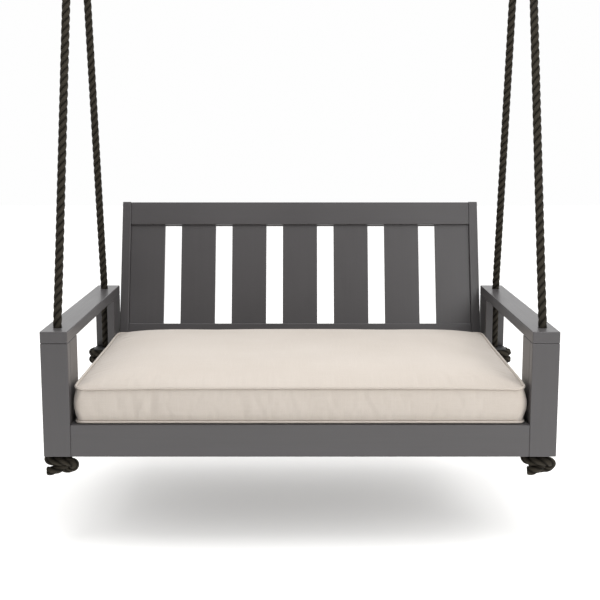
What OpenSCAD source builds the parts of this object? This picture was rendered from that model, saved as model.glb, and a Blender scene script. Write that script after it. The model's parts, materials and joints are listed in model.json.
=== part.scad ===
// Hanging swing bed: a painted timber seat with a slatted leaning back and flat arms, hung on two
// pairs of ropes from two ceiling hangers. Millimetres. Left and right are as seen from the front,
// which faces -Y. The origin lies on the ceiling plane, midway between the four bolt holes.

/* [Overall] */
// Width over the two arms
overall_w = 1524; // [1300:1:1900]
// Depth of an arm, front to back
arm_l = 968; // [900:1:1100]
// Drop from the ceiling plane to the top of the arms
ceiling_to_arm = 1980; // [1500:1:2600]
// Drop from the top of the arms to the foot of the front legs
arm_to_foot = 378; // [340:1:450]
// Distance from the front face back to the plane of the two hangers
hang_setback = 574; // [500:1:640]

/* [Arms and legs] */
// Width of an arm and of a leg
arm_w = 81; // [76:1:110]
// Thickness of an arm
arm_t = 35; // [25:1:45]
// Depth of a leg, front to back
leg_d = 142; // [130:1:160]
// Thickness of the boards that close a leg at the front and at the back
leg_face_t = 38; // [30:1:42]
// Thickness of the inner board of a leg
leg_inner_t = 25; // [18:1:30]
// Drop from the top of the arm to the short back board's lower end
back_board_drop = 219; // [180:1:240]
// How far the back board stands in from the arm's rear end
back_board_set = 28; // [26:1:31]
// Thickness of the wooden block in the foot of the front leg
foot_block_t = 25; // [19:1:28]

/* [Seat frame] */
// Height of the rails
rail_h = 97; // [85:1:120]
// Thickness of the rails
rail_t = 38; // [30:1:42]
// Thickness of a seat slat
seat_slat_t = 19; // [15:1:22]
// Width of a seat slat
seat_slat_w = 89; // [70:1:95]
// Number of seat slats
seat_slat_n = 8; // [6:1:8]
// Width of the cleats under the slats' ends
cleat_w = 25; // [18:1:40]
// Height of the cleats
cleat_h = 22; // [15:1:24]
// Height of the beam under the middle of the slats
beam_h = 64; // [50:1:65]

/* [Back] */
// Angle that the back leans from upright, in degrees
back_lean = 17.8; // [14:0.1:20]
// Distance from the arms' rear ends forward to the back's front face at the top of the rails
back_from_rear = 75; // [72:1:98]
// Length of the back from the top of the rails to its top edge, along its slope
back_l = 616; // [560:1:750]
// Width of a stile, seen from the front
stile_w = 33; // [28:1:60]
// Thickness of the stiles and of the top and bottom rails
back_t = 38; // [34:1:42]
// Gap between a stile and the leg beside it
stile_gap = 2; // [1:0.5:6]
// How far a stile's top stands above the top rail
stile_proud = 2; // [0:0.5:6]
// Height of the top and bottom rails of the back
back_rail_h = 87; // [75:1:100]
// Height of the bottom rail above the top of the seat's rails, along the slope
back_rail_up = 60; // [58:1:120]
// Number of back slats
back_slat_n = 7; // [5:1:9]
// Width of the open gap between two back slats
back_gap_w = 63; // [40:1:70]
// Thickness of a back slat
back_slat_t = 16; // [12:1:18]
// How far the slats lie behind the front of the rails
back_recess = 10; // [5:1:12]
// Depth of the grooves that hold the slats' ends
groove_d = 10; // [5:1:15]
// Length of the tenons that join the back's rails to its stiles
tenon_l = 20; // [12:1:24]

/* [Cushion] */
// Gap between a leg and the cushion's piped edge
cushion_side_gap = 9; // [9:1:100]
// Gap between the back's front face, at the top of the rails, and the cushion's piped edge
cushion_rear_gap = 15; // [8:1:90]
// Distance from the front face to the cushion's front edge
cushion_setback = 16; // [12:1:30]
// Height of the cushion's edge
cushion_h = 106; // [80:1:150]
// Rise of the cushion's crown above its edge
cushion_crown = 36; // [10:1:45]
// How far the side walls swell past the piped edges
cushion_swell = 6; // [2:1:7]
// How far the edges are drawn in between the corners
cushion_draw = 2; // [0:1:8]
// Gap under and around the cushion's lowest faces
soft_gap = 0.3; // [0.2:0.1:1]

/* [Rope] */
// Diameter of the rope
rope_d = 25.4; // [20:0.1:26]
// Clearance round the rope in its bores, on the diameter
rope_play = 2.6; // [2:0.1:5]
// Distance from the arm's outer face to the rope holes' centres
rope_from_outer = 38; // [32:1:40]
// Distance from the arm's front end to the front rope hole's centre
rope_from_front = 73; // [66:1:90]
// Distance from the arm's rear end to the rear rope hole's centre
rope_from_rear = 88; // [85:1:90]
// Chamfer round the rope's way out under the foot block
foot_chamfer = 5; // [3:0.5:6]
// Chamfer round the rope's way out under the rear bracket
bracket_chamfer = 1.5; // [0.5:0.5:2]
// Half width of the rear knot's loop, at the rope's centreline
knot_rx = 36; // [34:1:45]
// Half depth of the rear knot's loop, at the rope's centreline
knot_ry = 28; // [27:1:34]
// Length of the tail past the rear knot's last turn
knot_tail = 20; // [12:1:40]
// Gap between turns of rope
turn_gap = 0.8; // [0.5:0.1:3]

/* [Rear rope bracket] */
// Thickness of the bracket's flat plate
bracket_t = 6; // [4:0.5:6]
// Thickness of the bracket's flange
flange_t = 3; // [2:0.5:4]
// Height of the bracket's flange above the plate
flange_h = 40; // [30:1:60]
// Length of the bracket ahead of the back board
bracket_reach = 60; // [56:1:70]

/* [Ceiling hangers] */
// Length of a ceiling plate, front to back
plate_l = 160; // [150:1:220]
// Width of a ceiling plate
plate_w = 56; // [54:1:90]
// Thickness of a ceiling plate
plate_t = 6; // [4:0.5:8]
// Distance between a plate's two bolt holes
plate_bolt_gap = 120; // [100:1:130]
// Diameter of the bolt holes in the ceiling plates
plate_hole_d = 10.5; // [8:0.5:13]
// Drop from the ceiling plane to the pivot
pivot_drop = 40; // [34:1:60]
// Diameter of the pivot bolt
pivot_d = 12; // [10:0.5:14]
// Running clearance round the pivot bolt, on the diameter
pivot_play = 0.12; // [0.04:0.02:0.2]
// Wall of the nylon bushing
bushing_wall = 3; // [2:0.5:5]
// Inside width between the two ears
ear_gap = 26; // [20:1:40]
// Thickness of an ear
ear_t = 6; // [4:0.5:8]
// Radius of an ear's round end
ear_r = 20; // [16:1:26]

/* [Links and shackles] */
// Thickness of the hanger link
link_t = 14; // [10:1:18]
// Radius of the link's round ends
link_r = 19; // [15:1:24]
// Distance between the link's two bores
link_l = 50; // [44:1:90]
// Diameter of the shackle's bow bar
bow_d = 14; // [12:1:16]
// Diameter of the shackle's pin
shackle_pin_d = 14; // [12:1:16]
// Width of the thimble
thimble_w = 30; // [28:1:36]
// Radius of the thimble's bore
thimble_bore_r = 10; // [9:0.5:12]
// Radius of the rope's centreline round the thimble
bight_r = 36; // [34:1:50]
// Length of the two bound parts of the rope under the thimble
bound_l = 50; // [40:1:90]
// Height of the seizing that binds them
seizing_h = 36; // [25:1:45]
// Wall of the seizing
seizing_wall = 4; // [3:0.5:6]

/* [Fasteners] */
// Diameter of the bolts that join the legs to the side rails
leg_bolt_d = 10; // [8:1:12]
// Height of the leg bolts above the foot of the legs
leg_bolt_up = 38; // [37:1:40]
// Distance from the edges of the legs' inner boards to the bolts
leg_bolt_in = 14; // [13:1:30]
// Diameter of the lag screws that hold the back
lag_d = 8; // [6:1:10]
// Length of the lag screws' shanks
lag_l = 48; // [40:1:50]
// Diameter of the dowels that join arms and legs
dowel_d = 10; // [8:1:12]
// Length of the dowels
dowel_l = 50; // [40:1:60]
// Diameter of the wood screws in slats and brackets
screw_d = 4.5; // [3.5:0.5:5]

/* [Hidden] */
$fn = 64;

PAINT = "#5f5c5d";
STEEL = "#4a4a4c";
ZINC = "#9a9ca0";
ROPE = "#2d2a26";
TIMBER = "#c9a878";
NYLON = "#e6e4dc";
CLOTH = "#e6ddd0";

LEFT = -1;
RIGHT = 1;
FRONT = 0;
REAR = 1;
cut = 1;

// Places across, worked out for the right-hand side
outer_x = overall_w / 2;
inner_x = outer_x - arm_w;
inner_board_x = inner_x + leg_inner_t;
rope_x = outer_x - rope_from_outer;
rope_hole_d = rope_d + rope_play;
rope_r = rope_d / 2;

// Places front to back
front_y = -hang_setback;
rear_y = front_y + arm_l;
front_hole_y = front_y + rope_from_front;
rear_hole_y = rear_y - rope_from_rear;
rear_leg_y = rear_y - leg_d;

// Heights
arm_top_z = -ceiling_to_arm;
arm_under_z = arm_top_z - arm_t;
foot_z = arm_top_z - arm_to_foot;
seat_z = foot_z + rail_h;
back_board_z = arm_top_z - back_board_drop;
back_board_rear = rear_y - back_board_set;
back_board_y = back_board_rear - leg_face_t;
bracket_z = back_board_z - bracket_t;

// Back panel, in its own sloping plane
back_y = rear_y - back_from_rear;
stile_x = inner_x - stile_gap;
back_inner_x = stile_x - stile_w;
back_slat_w = (2 * back_inner_x - (back_slat_n - 1) * back_gap_w) / back_slat_n;
top_rail_s = back_l - back_rail_h;
bottom_rail_s = back_rail_up;
tenon_t = back_t / 3;
tenon_edge = 12;

// Seat slats
bay_y = front_y + rail_t;
bay_l = arm_l - 2 * rail_t;
side_rail_x = inner_x - rail_t;
seat_gap = (bay_l - seat_slat_n * seat_slat_w) / (seat_slat_n + 1);
slat_play = 1;

// Hanger stack, from the ceiling down
bushing_d = pivot_d + 2 * bushing_wall;
side_play = 0.3;
bushing_l = ear_gap - 2 * side_play;
eye_play = 3;
link_eye_r = bow_d / 2 + eye_play;
link_eye_z = -pivot_drop - link_l;
seat_gap_metal = 0.2;
thimble_play = 1;
bow_in_r = thimble_w / 2 + thimble_play;
bow_r = bow_in_r + bow_d / 2;
// The bow curves down under the link's faces, so its middle stands off the eye by this much,
// rounded up to a tenth of a millimetre
bow_rise = ceil(10 * (bow_in_r - sqrt(pow(bow_in_r, 2) - pow(link_t / 2, 2)))) / 10;
bow_top_z = link_eye_z - link_eye_r + bow_d / 2 + bow_rise + seat_gap_metal;
boss_r = shackle_pin_d;
boss_over = 1;
boss_l = bow_d + boss_over;
head_gap = 2.5;
thimble_z = link_eye_z - link_r - head_gap - rope_r - bight_r;
shackle_pin_z = thimble_z + thimble_bore_r - shackle_pin_d / 2 - seat_gap_metal;
groove_r = rope_r + soft_gap;
groove_depth_k = 0.53;
thimble_r = bight_r - rope_r + groove_depth_k * rope_r;
part_y = rope_r + turn_gap / 2;
throat_k = 1.5;
throat_z = thimble_z - throat_k * bight_r;
crotch_z = throat_z - bound_l;

// Hardware proportions
hex_k = 1.5;
head_k = 0.65;
nut_k = 0.8;
thread_out = 3;
dome_t = 4;
dome_top_k = 0.55;
washer_t = 2;

// ---- Plain helpers ----

module on_side(side) {
    if (side == LEFT) mirror([1, 0, 0]) children();
    else children();
}

module board(x, y, z) {
    // A board between two corners on each axis
    translate([x[0], y[0], z[0]]) cube([x[1] - x[0], y[1] - y[0], z[1] - z[0]]);
}

module rod_x(r, x0, x1, y, z) {
    // A round bar along X
    translate([x0, y, z]) rotate([0, 90, 0]) cylinder(r = r, h = x1 - x0);
}

module hex_x(flats, x0, x1, y, z) {
    // A hexagonal prism along X
    translate([x0, y, z]) rotate([0, 90, 0]) cylinder(r = flats / sqrt(3), h = x1 - x0, $fn = 6);
}

module stadium_x(r, x0, x1, y, z_low, z_high) {
    // A plate across X with two round ends, one above the other
    rod_x(r, x0, x1, y, z_low);
    rod_x(r, x0, x1, y, z_high);
    board([x0, x1], [y - r, y + r], [z_low, z_high]);
}

// ---- Swept tubes ----

function unit(v) = v / norm(v);
function smooth(t) = t <= 0 ? 0 : t >= 1 ? 1 : t * t * (3 - 2 * t);
function mix(a, b, t) = a + (b - a) * t;
function bezier(a, b, c, d, t) =
    pow(1 - t, 3) * a + 3 * t * pow(1 - t, 2) * b + 3 * t * t * (1 - t) * c + pow(t, 3) * d;
function tangent(p, i) =
    unit(p[min(i + 1, len(p) - 1)] - p[max(i - 1, 0)]);
function square_to(v, t) = unit(v - (v * t) * t);
function ring_normals(p) = [
    for (i = 0, n = square_to([0.31, 1, 0.2], tangent(p, 0));
         i < len(p);
         i = i + 1, n = square_to(n, tangent(p, min(i, len(p) - 1)))) n
];

module tube(p, r, sides) {
    // One closed tube swept along the points, with a flat end at each end
    normals = ring_normals(p);
    count = len(p);
    points = [
        for (i = [0:count - 1]) let (t = tangent(p, i), n = normals[i], b = cross(t, n))
            for (k = [0:sides - 1]) let (a = 360 * k / sides) p[i] + r * (cos(a) * n + sin(a) * b)
    ];
    walls = [
        for (i = [0:count - 2]) for (k = [0:sides - 1])
            let (a = i * sides + k, b = i * sides + (k + 1) % sides)
                each [[a, a + sides, b], [b, a + sides, b + sides]]
    ];
    last = (count - 1) * sides;
    ends = [
        for (k = [1:sides - 2]) each [[0, k, k + 1], [last, last + k + 1, last + k]]
    ];
    polyhedron(points = points, faces = concat(walls, ends));
}

// Length along the points up to each point
function runs(p) = [
    for (i = 0, s = 0; i < len(p); i = i + 1, s = i < len(p) ? s + norm(p[i] - p[i - 1]) : s) s
];
// Least distance between the surfaces of two stretches that lie over two diameters apart along it
function least_gap(p, d) = let (s = runs(p))
    min([for (i = [0:len(p) - 1]) for (j = [i + 1:1:len(p) - 1])
        if (s[j] - s[i] > 2.2 * d) norm(p[i] - p[j])]) - d;

// ---- Rope routes, in millimetres ----

// Rope from the bound parts under the thimble to the arm, then straight down inside the leg.
// It leaves the binding and enters the arm upright, over a short lead
lead_out = 12;
lead_in = 8;
lead_on = 10;
function rope_route(y_top, y_hole, z_low, steps) = let (
    top = [0, y_top, crotch_z],
    hole = [0, y_hole, arm_top_z],
    a = top - [0, 0, lead_out],
    b = mix(top, hole, 0.03)
) concat(
    [top, a, b],
    [for (i = [1:steps - 1]) mix(b, hole + [0, 0, lead_in], i / (steps - 1))],
    [hole - [0, 0, lead_on]],
    [for (i = [1:3]) mix(hole - [0, 0, lead_on], [0, y_hole, z_low], i / 3)]
);

// Smooth curve through every point, with knots spaced by the square root of the spans
function lean(a, b) = sqrt(norm(b - a));
function curve_at(p0, p1, p2, p3, u) = let (
    t1 = lean(p0, p1),
    t2 = t1 + lean(p1, p2),
    t3 = t2 + lean(p2, p3),
    t = mix(t1, t2, u),
    a1 = mix(p0, p1, t / t1),
    a2 = mix(p1, p2, (t - t1) / (t2 - t1)),
    a3 = mix(p2, p3, (t - t2) / (t3 - t2)),
    b1 = mix(a1, a2, t / t2),
    b2 = mix(a2, a3, (t - t1) / (t3 - t1))
) mix(b1, b2, (t - t1) / (t2 - t1));
function curve_through(p, steps) = let (
    last = len(p) - 1,
    q = concat([2 * p[0] - p[1]], p, [2 * p[last] - p[last - 1]])
) concat(
    [for (i = [0:last - 1]) for (k = [0:steps - 1])
        curve_at(q[i], q[i + 1], q[i + 2], q[i + 3], k / steps)],
    [p[last]]
);

// Front knot, in rope diameters from the mouth of the hole: an overhand stopper. The rope comes
// down, turns up on its right, crosses in front, rounds itself and comes out through the loop
overhand = [
    [0, 0, 1], [0, 0, 0.48], [0, 0, -0.04], [-0.12, 0.06, -0.55],
    [-0.42, 0.16, -1.08], [-0.58, 0.34, -1.62], [-0.4, 0.52, -2.1], [0.18, 0.6, -2.4],
    [0.84, 0.47, -2.38], [1.37, 0.06, -2.04], [1.53, -0.5, -1.5], [1.1, -1.04, -1.1],
    [0.3, -1.3, -0.96], [-0.58, -1.26, -0.98], [-1.3, -0.78, -1.02], [-1.54, 0.12, -0.94],
    [-1.14, 0.94, -0.78], [-0.36, 1.27, -0.7], [0.22, 1.17, -0.82], [0.56, 0.74, -1.06],
    [0.59, 0.12, -1.36], [0.28, -0.52, -1.74], [-0.3, -1.0, -2.02], [-0.94, -1.14, -2.18],
    [-1.5, -1.08, -2.24]
];
front_knot_route = curve_through(overhand * rope_d, 2);

// Rear knot: the rope comes down, joins a flat oval loop, drops one level and loops again
level_a = -rope_r - soft_gap;
level_b = level_a - rope_d - turn_gap;
drop_from = 190;
drop_to = 262;
knot_end = 510;
knot_step = 15;
knot_lead = rope_d;
mouth_z = -1;
function knot_level(a) = mix(level_a, level_b, smooth((a - drop_from) / (drop_to - drop_from)));
function knot_loop(a) = [knot_rx * cos(a), knot_ry * sin(a), knot_level(a)];
function knot_heading(a) = unit([-knot_rx * sin(a), knot_ry * cos(a), 0]);
function knot_route(entry, start) = let (
    first = knot_loop(start),
    aim = knot_heading(start),
    lead = [entry[0], entry[1], knot_lead],
    mouth = [entry[0], entry[1], mouth_z],
    reach = norm(first - mouth) / 2.2,
    last = knot_loop(knot_end),
    away = unit(knot_heading(knot_end) + [0, 0, -0.08])
) concat(
    [lead, mix(lead, mouth, 0.5)],
    [for (i = [0:5]) bezier(mouth, mouth - [0, 0, reach], first - aim * reach, first, i / 6)],
    [for (a = [start:knot_step:knot_end]) knot_loop(a)],
    [for (i = [1:2]) last + away * knot_tail * i / 2]
);

rear_knot_offset = inner_board_x + soft_gap + knot_ry + rope_r - rope_x;
rear_knot_entry = [0, -rear_knot_offset];
rear_knot_start = -60;

// Bight: up one bound part, round the thimble and down the other
arc_from = -50;
arc_to = 230;
arc_step = 14;
arc_lead = 12;
function bight_arc(a) = [0, bight_r * cos(a), thimble_z + bight_r * sin(a)];
function bight_side(sign) = let (
    low = [0, sign * part_y, crotch_z],
    bend = [0, sign * part_y, throat_z],
    on_arc = bight_arc(sign > 0 ? arc_from : arc_to),
    aim = [0, sign * -sin(arc_from), cos(arc_from)]
) concat(
    [low, mix(low, bend, 0.5)],
    [for (i = [0:4])
        bezier(bend, bend + [0, 0, arc_lead], on_arc - arc_lead * aim, on_arc, i / 5)]
);
function reversed(p) = [for (i = [len(p) - 1:-1:0]) p[i]];
bight_route = concat(
    bight_side(1), [for (a = [arc_from:arc_step:arc_to]) bight_arc(a)], reversed(bight_side(-1))
);

echo(front_knot_gap = least_gap(front_knot_route, rope_d));
echo(rear_knot_gap = least_gap(knot_route(rear_knot_entry, rear_knot_start), rope_d));
echo(bight_gap = least_gap(bight_route, rope_d));

// ---- Ceiling hangers ----

module ceiling_plate(side) {
    color(STEEL) on_side(side) difference() {
        union() {
            board([rope_x - plate_w / 2, rope_x + plate_w / 2], [-plate_l / 2, plate_l / 2],
                  [-plate_t, 0]);
            for (ear = [-1, 1]) let (mid = rope_x + ear * (ear_gap + ear_t) / 2) {
                rod_x(ear_r, mid - ear_t / 2, mid + ear_t / 2, 0, -pivot_drop);
                board([mid - ear_t / 2, mid + ear_t / 2], [-ear_r, ear_r],
                      [-pivot_drop, -plate_t / 2]);
            }
        }
        for (end = [-1, 1])
            translate([rope_x, end * plate_bolt_gap / 2, -plate_t - cut])
                cylinder(d = plate_hole_d, h = plate_t + 2 * cut);
        rod_x((pivot_d + pivot_play) / 2, rope_x - plate_w, rope_x + plate_w, 0, -pivot_drop);
    }
}

ear_out = ear_gap / 2 + ear_t;
nut_l = pivot_d * nut_k;

module pivot_bolt(side) {
    color(ZINC) on_side(side) {
        rod_x(pivot_d / 2, rope_x - ear_out - nut_l - thread_out, rope_x + ear_out,
              0, -pivot_drop);
        hex_x(pivot_d * hex_k, rope_x + ear_out, rope_x + ear_out + pivot_d * head_k,
              0, -pivot_drop);
    }
}

module pivot_nuts() {
    color(ZINC) for (side = [LEFT, RIGHT]) on_side(side) difference() {
        hex_x(pivot_d * hex_k, rope_x - ear_out - nut_l, rope_x - ear_out, 0, -pivot_drop);
        rod_x(pivot_d / 2, rope_x - plate_w, rope_x, 0, -pivot_drop);
    }
}

module pivot_bushing(side) {
    color(NYLON) on_side(side) difference() {
        rod_x(bushing_d / 2, rope_x - bushing_l / 2, rope_x + bushing_l / 2, 0, -pivot_drop);
        rod_x((pivot_d + pivot_play) / 2, rope_x - bushing_l, rope_x + bushing_l, 0, -pivot_drop);
    }
}

module hanger_link(side) {
    color(STEEL) on_side(side) difference() {
        stadium_x(link_r, rope_x - link_t / 2, rope_x + link_t / 2, 0, link_eye_z, -pivot_drop);
        rod_x(bushing_d / 2, rope_x - link_t, rope_x + link_t, 0, -pivot_drop);
        rod_x(link_eye_r, rope_x - link_t, rope_x + link_t, 0, link_eye_z);
    }
}

module shackle_bow(side) {
    // A D bow: half a ring over two straight bars that end in eyes for the pin
    bow_z = bow_top_z - bow_r;
    color(STEEL) on_side(side) difference() {
        union() {
            translate([rope_x, 0, bow_z]) rotate([90, 0, 0])
                rotate_extrude(angle = 180) translate([bow_r, 0]) circle(d = bow_d);
            for (end = [-1, 1]) {
                translate([rope_x + end * bow_r, 0, shackle_pin_z])
                    cylinder(d = bow_d, h = bow_z - shackle_pin_z);
                rod_x(boss_r, rope_x + end * bow_r - boss_l / 2,
                      rope_x + end * bow_r + boss_l / 2, 0, shackle_pin_z);
            }
        }
        rod_x(shackle_pin_d / 2 + seat_gap_metal, rope_x - 2 * bow_r, rope_x + 2 * bow_r,
              0, shackle_pin_z);
    }
}

collar_t = 4;
lug_r = 10;
lug_t = 6;
lug_eye_r = 4;

module shackle_pin(side) {
    // A screw pin: on the inner side it ends in a collar and a flat lug with an eye
    out = bow_r + boss_l / 2;
    collar_x = rope_x - out - collar_t;
    color(ZINC) on_side(side) difference() {
        union() {
            rod_x(shackle_pin_d / 2, collar_x, rope_x + out, 0, shackle_pin_z);
            rod_x(boss_r, collar_x, rope_x - out, 0, shackle_pin_z);
            translate([collar_x - lug_r + cut, lug_t / 2, shackle_pin_z]) rotate([90, 0, 0])
                cylinder(r = lug_r, h = lug_t);
        }
        translate([collar_x - lug_r + cut, lug_t, shackle_pin_z]) rotate([90, 0, 0])
            cylinder(r = lug_eye_r, h = 2 * lug_t);
    }
}

module thimble(side) {
    color(ZINC) on_side(side) translate([rope_x, 0, thimble_z]) rotate([0, 90, 0])
        rotate_extrude() difference() {
            translate([thimble_bore_r, -thimble_w / 2])
                square([thimble_r - thimble_bore_r, thimble_w]);
            translate([bight_r, 0]) circle(r = groove_r);
        }
}

// ---- Ropes ----

module rope_bight(side) {
    color(ROPE) translate([side * rope_x, 0, 0]) tube(bight_route, rope_r, 6);
}

module seizing(side) {
    low = crotch_z + (bound_l - seizing_h) / 2;
    fit = rope_r + soft_gap;
    color(ROPE) translate([side * rope_x, 0, low]) linear_extrude(seizing_h) difference() {
        union() {
            square([2 * (fit + seizing_wall), 2 * part_y], center = true);
            for (end = [-1, 1]) translate([0, end * part_y]) circle(r = fit + seizing_wall);
        }
        for (end = [-1, 1]) translate([0, end * part_y]) circle(r = fit);
    }
}

module rope(side, end) {
    low = end == FRONT ? foot_z : bracket_z;
    y_hole = end == FRONT ? front_hole_y : rear_hole_y;
    y_top = end == FRONT ? -part_y : part_y;
    color(ROPE) translate([side * rope_x, 0, 0])
        tube(rope_route(y_top, y_hole, low + knot_lead, 14), rope_r, 8);
}

module front_knot(side) {
    color(ROPE) translate([side * rope_x, front_hole_y, foot_z])
        tube(front_knot_route, rope_r, 6);
}

module rear_knot(side) {
    color(ROPE) translate([side * (rope_x + rear_knot_offset), rear_hole_y, bracket_z])
        rotate([0, 0, -side * 90])
            tube(knot_route(rear_knot_entry, rear_knot_start), rope_r, 6);
}

// ---- Arms and legs ----

module rope_hole(y) {
    translate([rope_x, y, foot_z - cut])
        cylinder(d = rope_hole_d, h = arm_to_foot + 2 * cut);
}

module rope_way_out(y, z, chamfer) {
    // A cone that eases the lower rim of a rope hole
    translate([rope_x, y, z - cut])
        cylinder(r1 = rope_hole_d / 2 + chamfer + cut, r2 = rope_hole_d / 2, h = chamfer + cut);
}

module dowel_holes() {
    for (p = dowel_places)
        translate([p[0], p[1], arm_under_z - dowel_l / 2]) cylinder(d = dowel_d, h = dowel_l);
}

dowel_in = 20;
dowel_places = [
    [inner_x + dowel_in, front_y + leg_face_t / 2],
    [outer_x - dowel_in, front_y + leg_face_t / 2],
    [inner_x + leg_inner_t / 2, rear_leg_y + dowel_in],
    [outer_x - dowel_in, back_board_y + leg_face_t / 2]
];

module arm(side) {
    color(PAINT) on_side(side) difference() {
        board([inner_x, outer_x], [front_y, rear_y], [arm_under_z, arm_top_z]);
        rope_hole(front_hole_y);
        rope_hole(rear_hole_y);
        dowel_holes();
    }
}

module front_leg_face(side) {
    color(PAINT) on_side(side) difference() {
        board([inner_x, outer_x], [front_y, front_y + leg_face_t], [foot_z, arm_under_z]);
        dowel_holes();
    }
}

module front_leg_inner(side) {
    color(PAINT) on_side(side) difference() {
        board([inner_x, inner_board_x], [front_y + leg_face_t, front_y + leg_d],
              [foot_z, arm_under_z]);
        leg_bolt_bores();
    }
}

module foot_block(side) {
    color(PAINT) on_side(side) difference() {
        board([inner_board_x, outer_x], [front_y + leg_face_t, front_y + leg_d],
              [foot_z, foot_z + foot_block_t]);
        rope_hole(front_hole_y);
        rope_way_out(front_hole_y, foot_z, foot_chamfer);
    }
}

module rear_leg_inner(side) {
    color(PAINT) on_side(side) difference() {
        board([inner_x, inner_board_x], [rear_leg_y, rear_y], [foot_z, arm_under_z]);
        leg_bolt_bores();
        lag_bores();
        dowel_holes();
        bracket_screw_bores();
    }
}

module rear_leg_back(side) {
    color(PAINT) on_side(side) difference() {
        board([inner_board_x, outer_x], [back_board_y, back_board_rear],
              [back_board_z, arm_under_z]);
        dowel_holes();
        bracket_screw_bores();
    }
}

module rope_bracket(side) {
    // A flat plate under the back board, turned up into a flange along the inner board
    color(STEEL) on_side(side) difference() {
        union() {
            board([inner_board_x, outer_x], [back_board_y - bracket_reach, back_board_rear],
                  [bracket_z, back_board_z]);
            board([inner_board_x, inner_board_x + flange_t],
                  [back_board_y - bracket_reach, back_board_y],
                  [bracket_z, back_board_z + flange_h]);
        }
        rope_hole(rear_hole_y);
        rope_way_out(rear_hole_y, bracket_z, bracket_chamfer);
        bracket_screw_bores();
    }
}

// ---- Seat frame ----

module front_rail() {
    color(PAINT)
        board([-inner_x, inner_x], [front_y, front_y + rail_t], [foot_z, seat_z]);
}

module rear_rail() {
    color(PAINT)
        board([-inner_x, inner_x], [rear_y - rail_t, rear_y], [foot_z, seat_z]);
}

module side_rail(side) {
    color(PAINT) on_side(side) difference() {
        board([side_rail_x, inner_x], [bay_y, bay_y + bay_l], [foot_z, seat_z]);
        leg_bolt_bores();
    }
}

module centre_beam() {
    color(PAINT) difference() {
        board([-rail_t / 2, rail_t / 2], [bay_y, bay_y + bay_l],
              [seat_z - seat_slat_t - beam_h, seat_z - seat_slat_t]);
        slat_screw_bores();
    }
}

module slat_cleat(side) {
    color(PAINT) on_side(side) difference() {
        board([side_rail_x - cleat_w, side_rail_x], [bay_y, bay_y + bay_l],
              [seat_z - seat_slat_t - cleat_h, seat_z - seat_slat_t]);
        slat_screw_bores();
    }
}

function seat_slat_y(i) = bay_y + seat_gap + i * (seat_slat_w + seat_gap);

module seat_slats() {
    color(PAINT) difference() {
        for (i = [0:seat_slat_n - 1])
            board([slat_play - side_rail_x, side_rail_x - slat_play],
                  [seat_slat_y(i), seat_slat_y(i) + seat_slat_w],
                  [seat_z - seat_slat_t, seat_z]);
        slat_screw_bores();
    }
}

// ---- Back ----

module in_back() {
    // Places its children in the plane of the back: X across, Y into it, Z up its slope
    translate([0, back_y, seat_z]) rotate([-back_lean, 0, 0]) children();
}

module back_rail_shape(s, play) {
    // A rail of the back with its two tenons; play widens it for the mortises
    board([-back_inner_x - tenon_l - play, back_inner_x + tenon_l + play],
          [(back_t - tenon_t) / 2 - play, (back_t + tenon_t) / 2 + play],
          [s + tenon_edge - play, s + back_rail_h - tenon_edge + play]);
}

module groove(s) {
    board([-back_inner_x, back_inner_x], [back_recess, back_recess + back_slat_t],
          [s, s + groove_d]);
}

module back_stile(side) {
    color(PAINT) on_side(side) difference() {
        in_back() difference() {
            board([back_inner_x, stile_x], [0, back_t], [-back_t, back_l + stile_proud]);
            back_rail_shape(top_rail_s, 0.1);
            back_rail_shape(bottom_rail_s, 0.1);
        }
        // The foot is cut level to stand on the rails
        board([0, outer_x], [front_y, rear_y + leg_d], [foot_z, seat_z]);
        lag_bores();
    }
}

module back_top_rail() {
    color(PAINT) in_back() difference() {
        union() {
            board([-back_inner_x, back_inner_x], [0, back_t], [top_rail_s, back_l]);
            back_rail_shape(top_rail_s, 0);
        }
        groove(top_rail_s);
    }
}

module back_bottom_rail() {
    color(PAINT) in_back() difference() {
        union() {
            board([-back_inner_x, back_inner_x], [0, back_t],
                  [bottom_rail_s, bottom_rail_s + back_rail_h]);
            back_rail_shape(bottom_rail_s, 0);
        }
        groove(bottom_rail_s + back_rail_h - groove_d);
    }
}

module back_slats() {
    low = bottom_rail_s + back_rail_h - groove_d;
    color(PAINT) in_back() for (i = [0:back_slat_n - 1])
        let (x = -back_inner_x + i * (back_slat_w + back_gap_w))
            board([x, x + back_slat_w], [back_recess, back_recess + back_slat_t],
                  [low, top_rail_s + groove_d]);
}

// ---- Fasteners ----

rear_bolt_shift = 10;
leg_bolt_ys = [
    front_y + leg_face_t + leg_bolt_in, front_y + leg_d - leg_bolt_in,
    rear_leg_y + leg_bolt_in + rear_bolt_shift, rear_y - rail_t - leg_bolt_in
];
leg_bolt_z = foot_z + leg_bolt_up;
leg_bolt_play = 0.5;

module leg_bolt_bores() {
    for (y = leg_bolt_ys)
        rod_x((leg_bolt_d + leg_bolt_play) / 2, side_rail_x - cut, inner_board_x + cut,
              y, leg_bolt_z);
}

module leg_bolts() {
    // Round-headed bolts, heads outside, each with its washer and nut inside the side rail
    head_r = leg_bolt_d;
    color(ZINC) for (side = [LEFT, RIGHT]) on_side(side) for (y = leg_bolt_ys) {
        nut_x = side_rail_x - washer_t - leg_bolt_d * nut_k;
        rod_x(leg_bolt_d / 2, nut_x - thread_out, inner_board_x, y, leg_bolt_z);
        translate([inner_board_x, y, leg_bolt_z]) rotate([0, 90, 0])
            cylinder(r1 = head_r, r2 = head_r * dome_top_k, h = dome_t);
        rod_x(leg_bolt_d, side_rail_x - washer_t, side_rail_x, y, leg_bolt_z);
        hex_x(leg_bolt_d * hex_k, nut_x, side_rail_x - washer_t, y, leg_bolt_z);
    }
}

// Two lag screws a side, from inside through the stile's foot into the rear leg
lag_ups = [13, 33];
function lag_y(up) = back_y + up * tan(back_lean) + back_t / 2;

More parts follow.
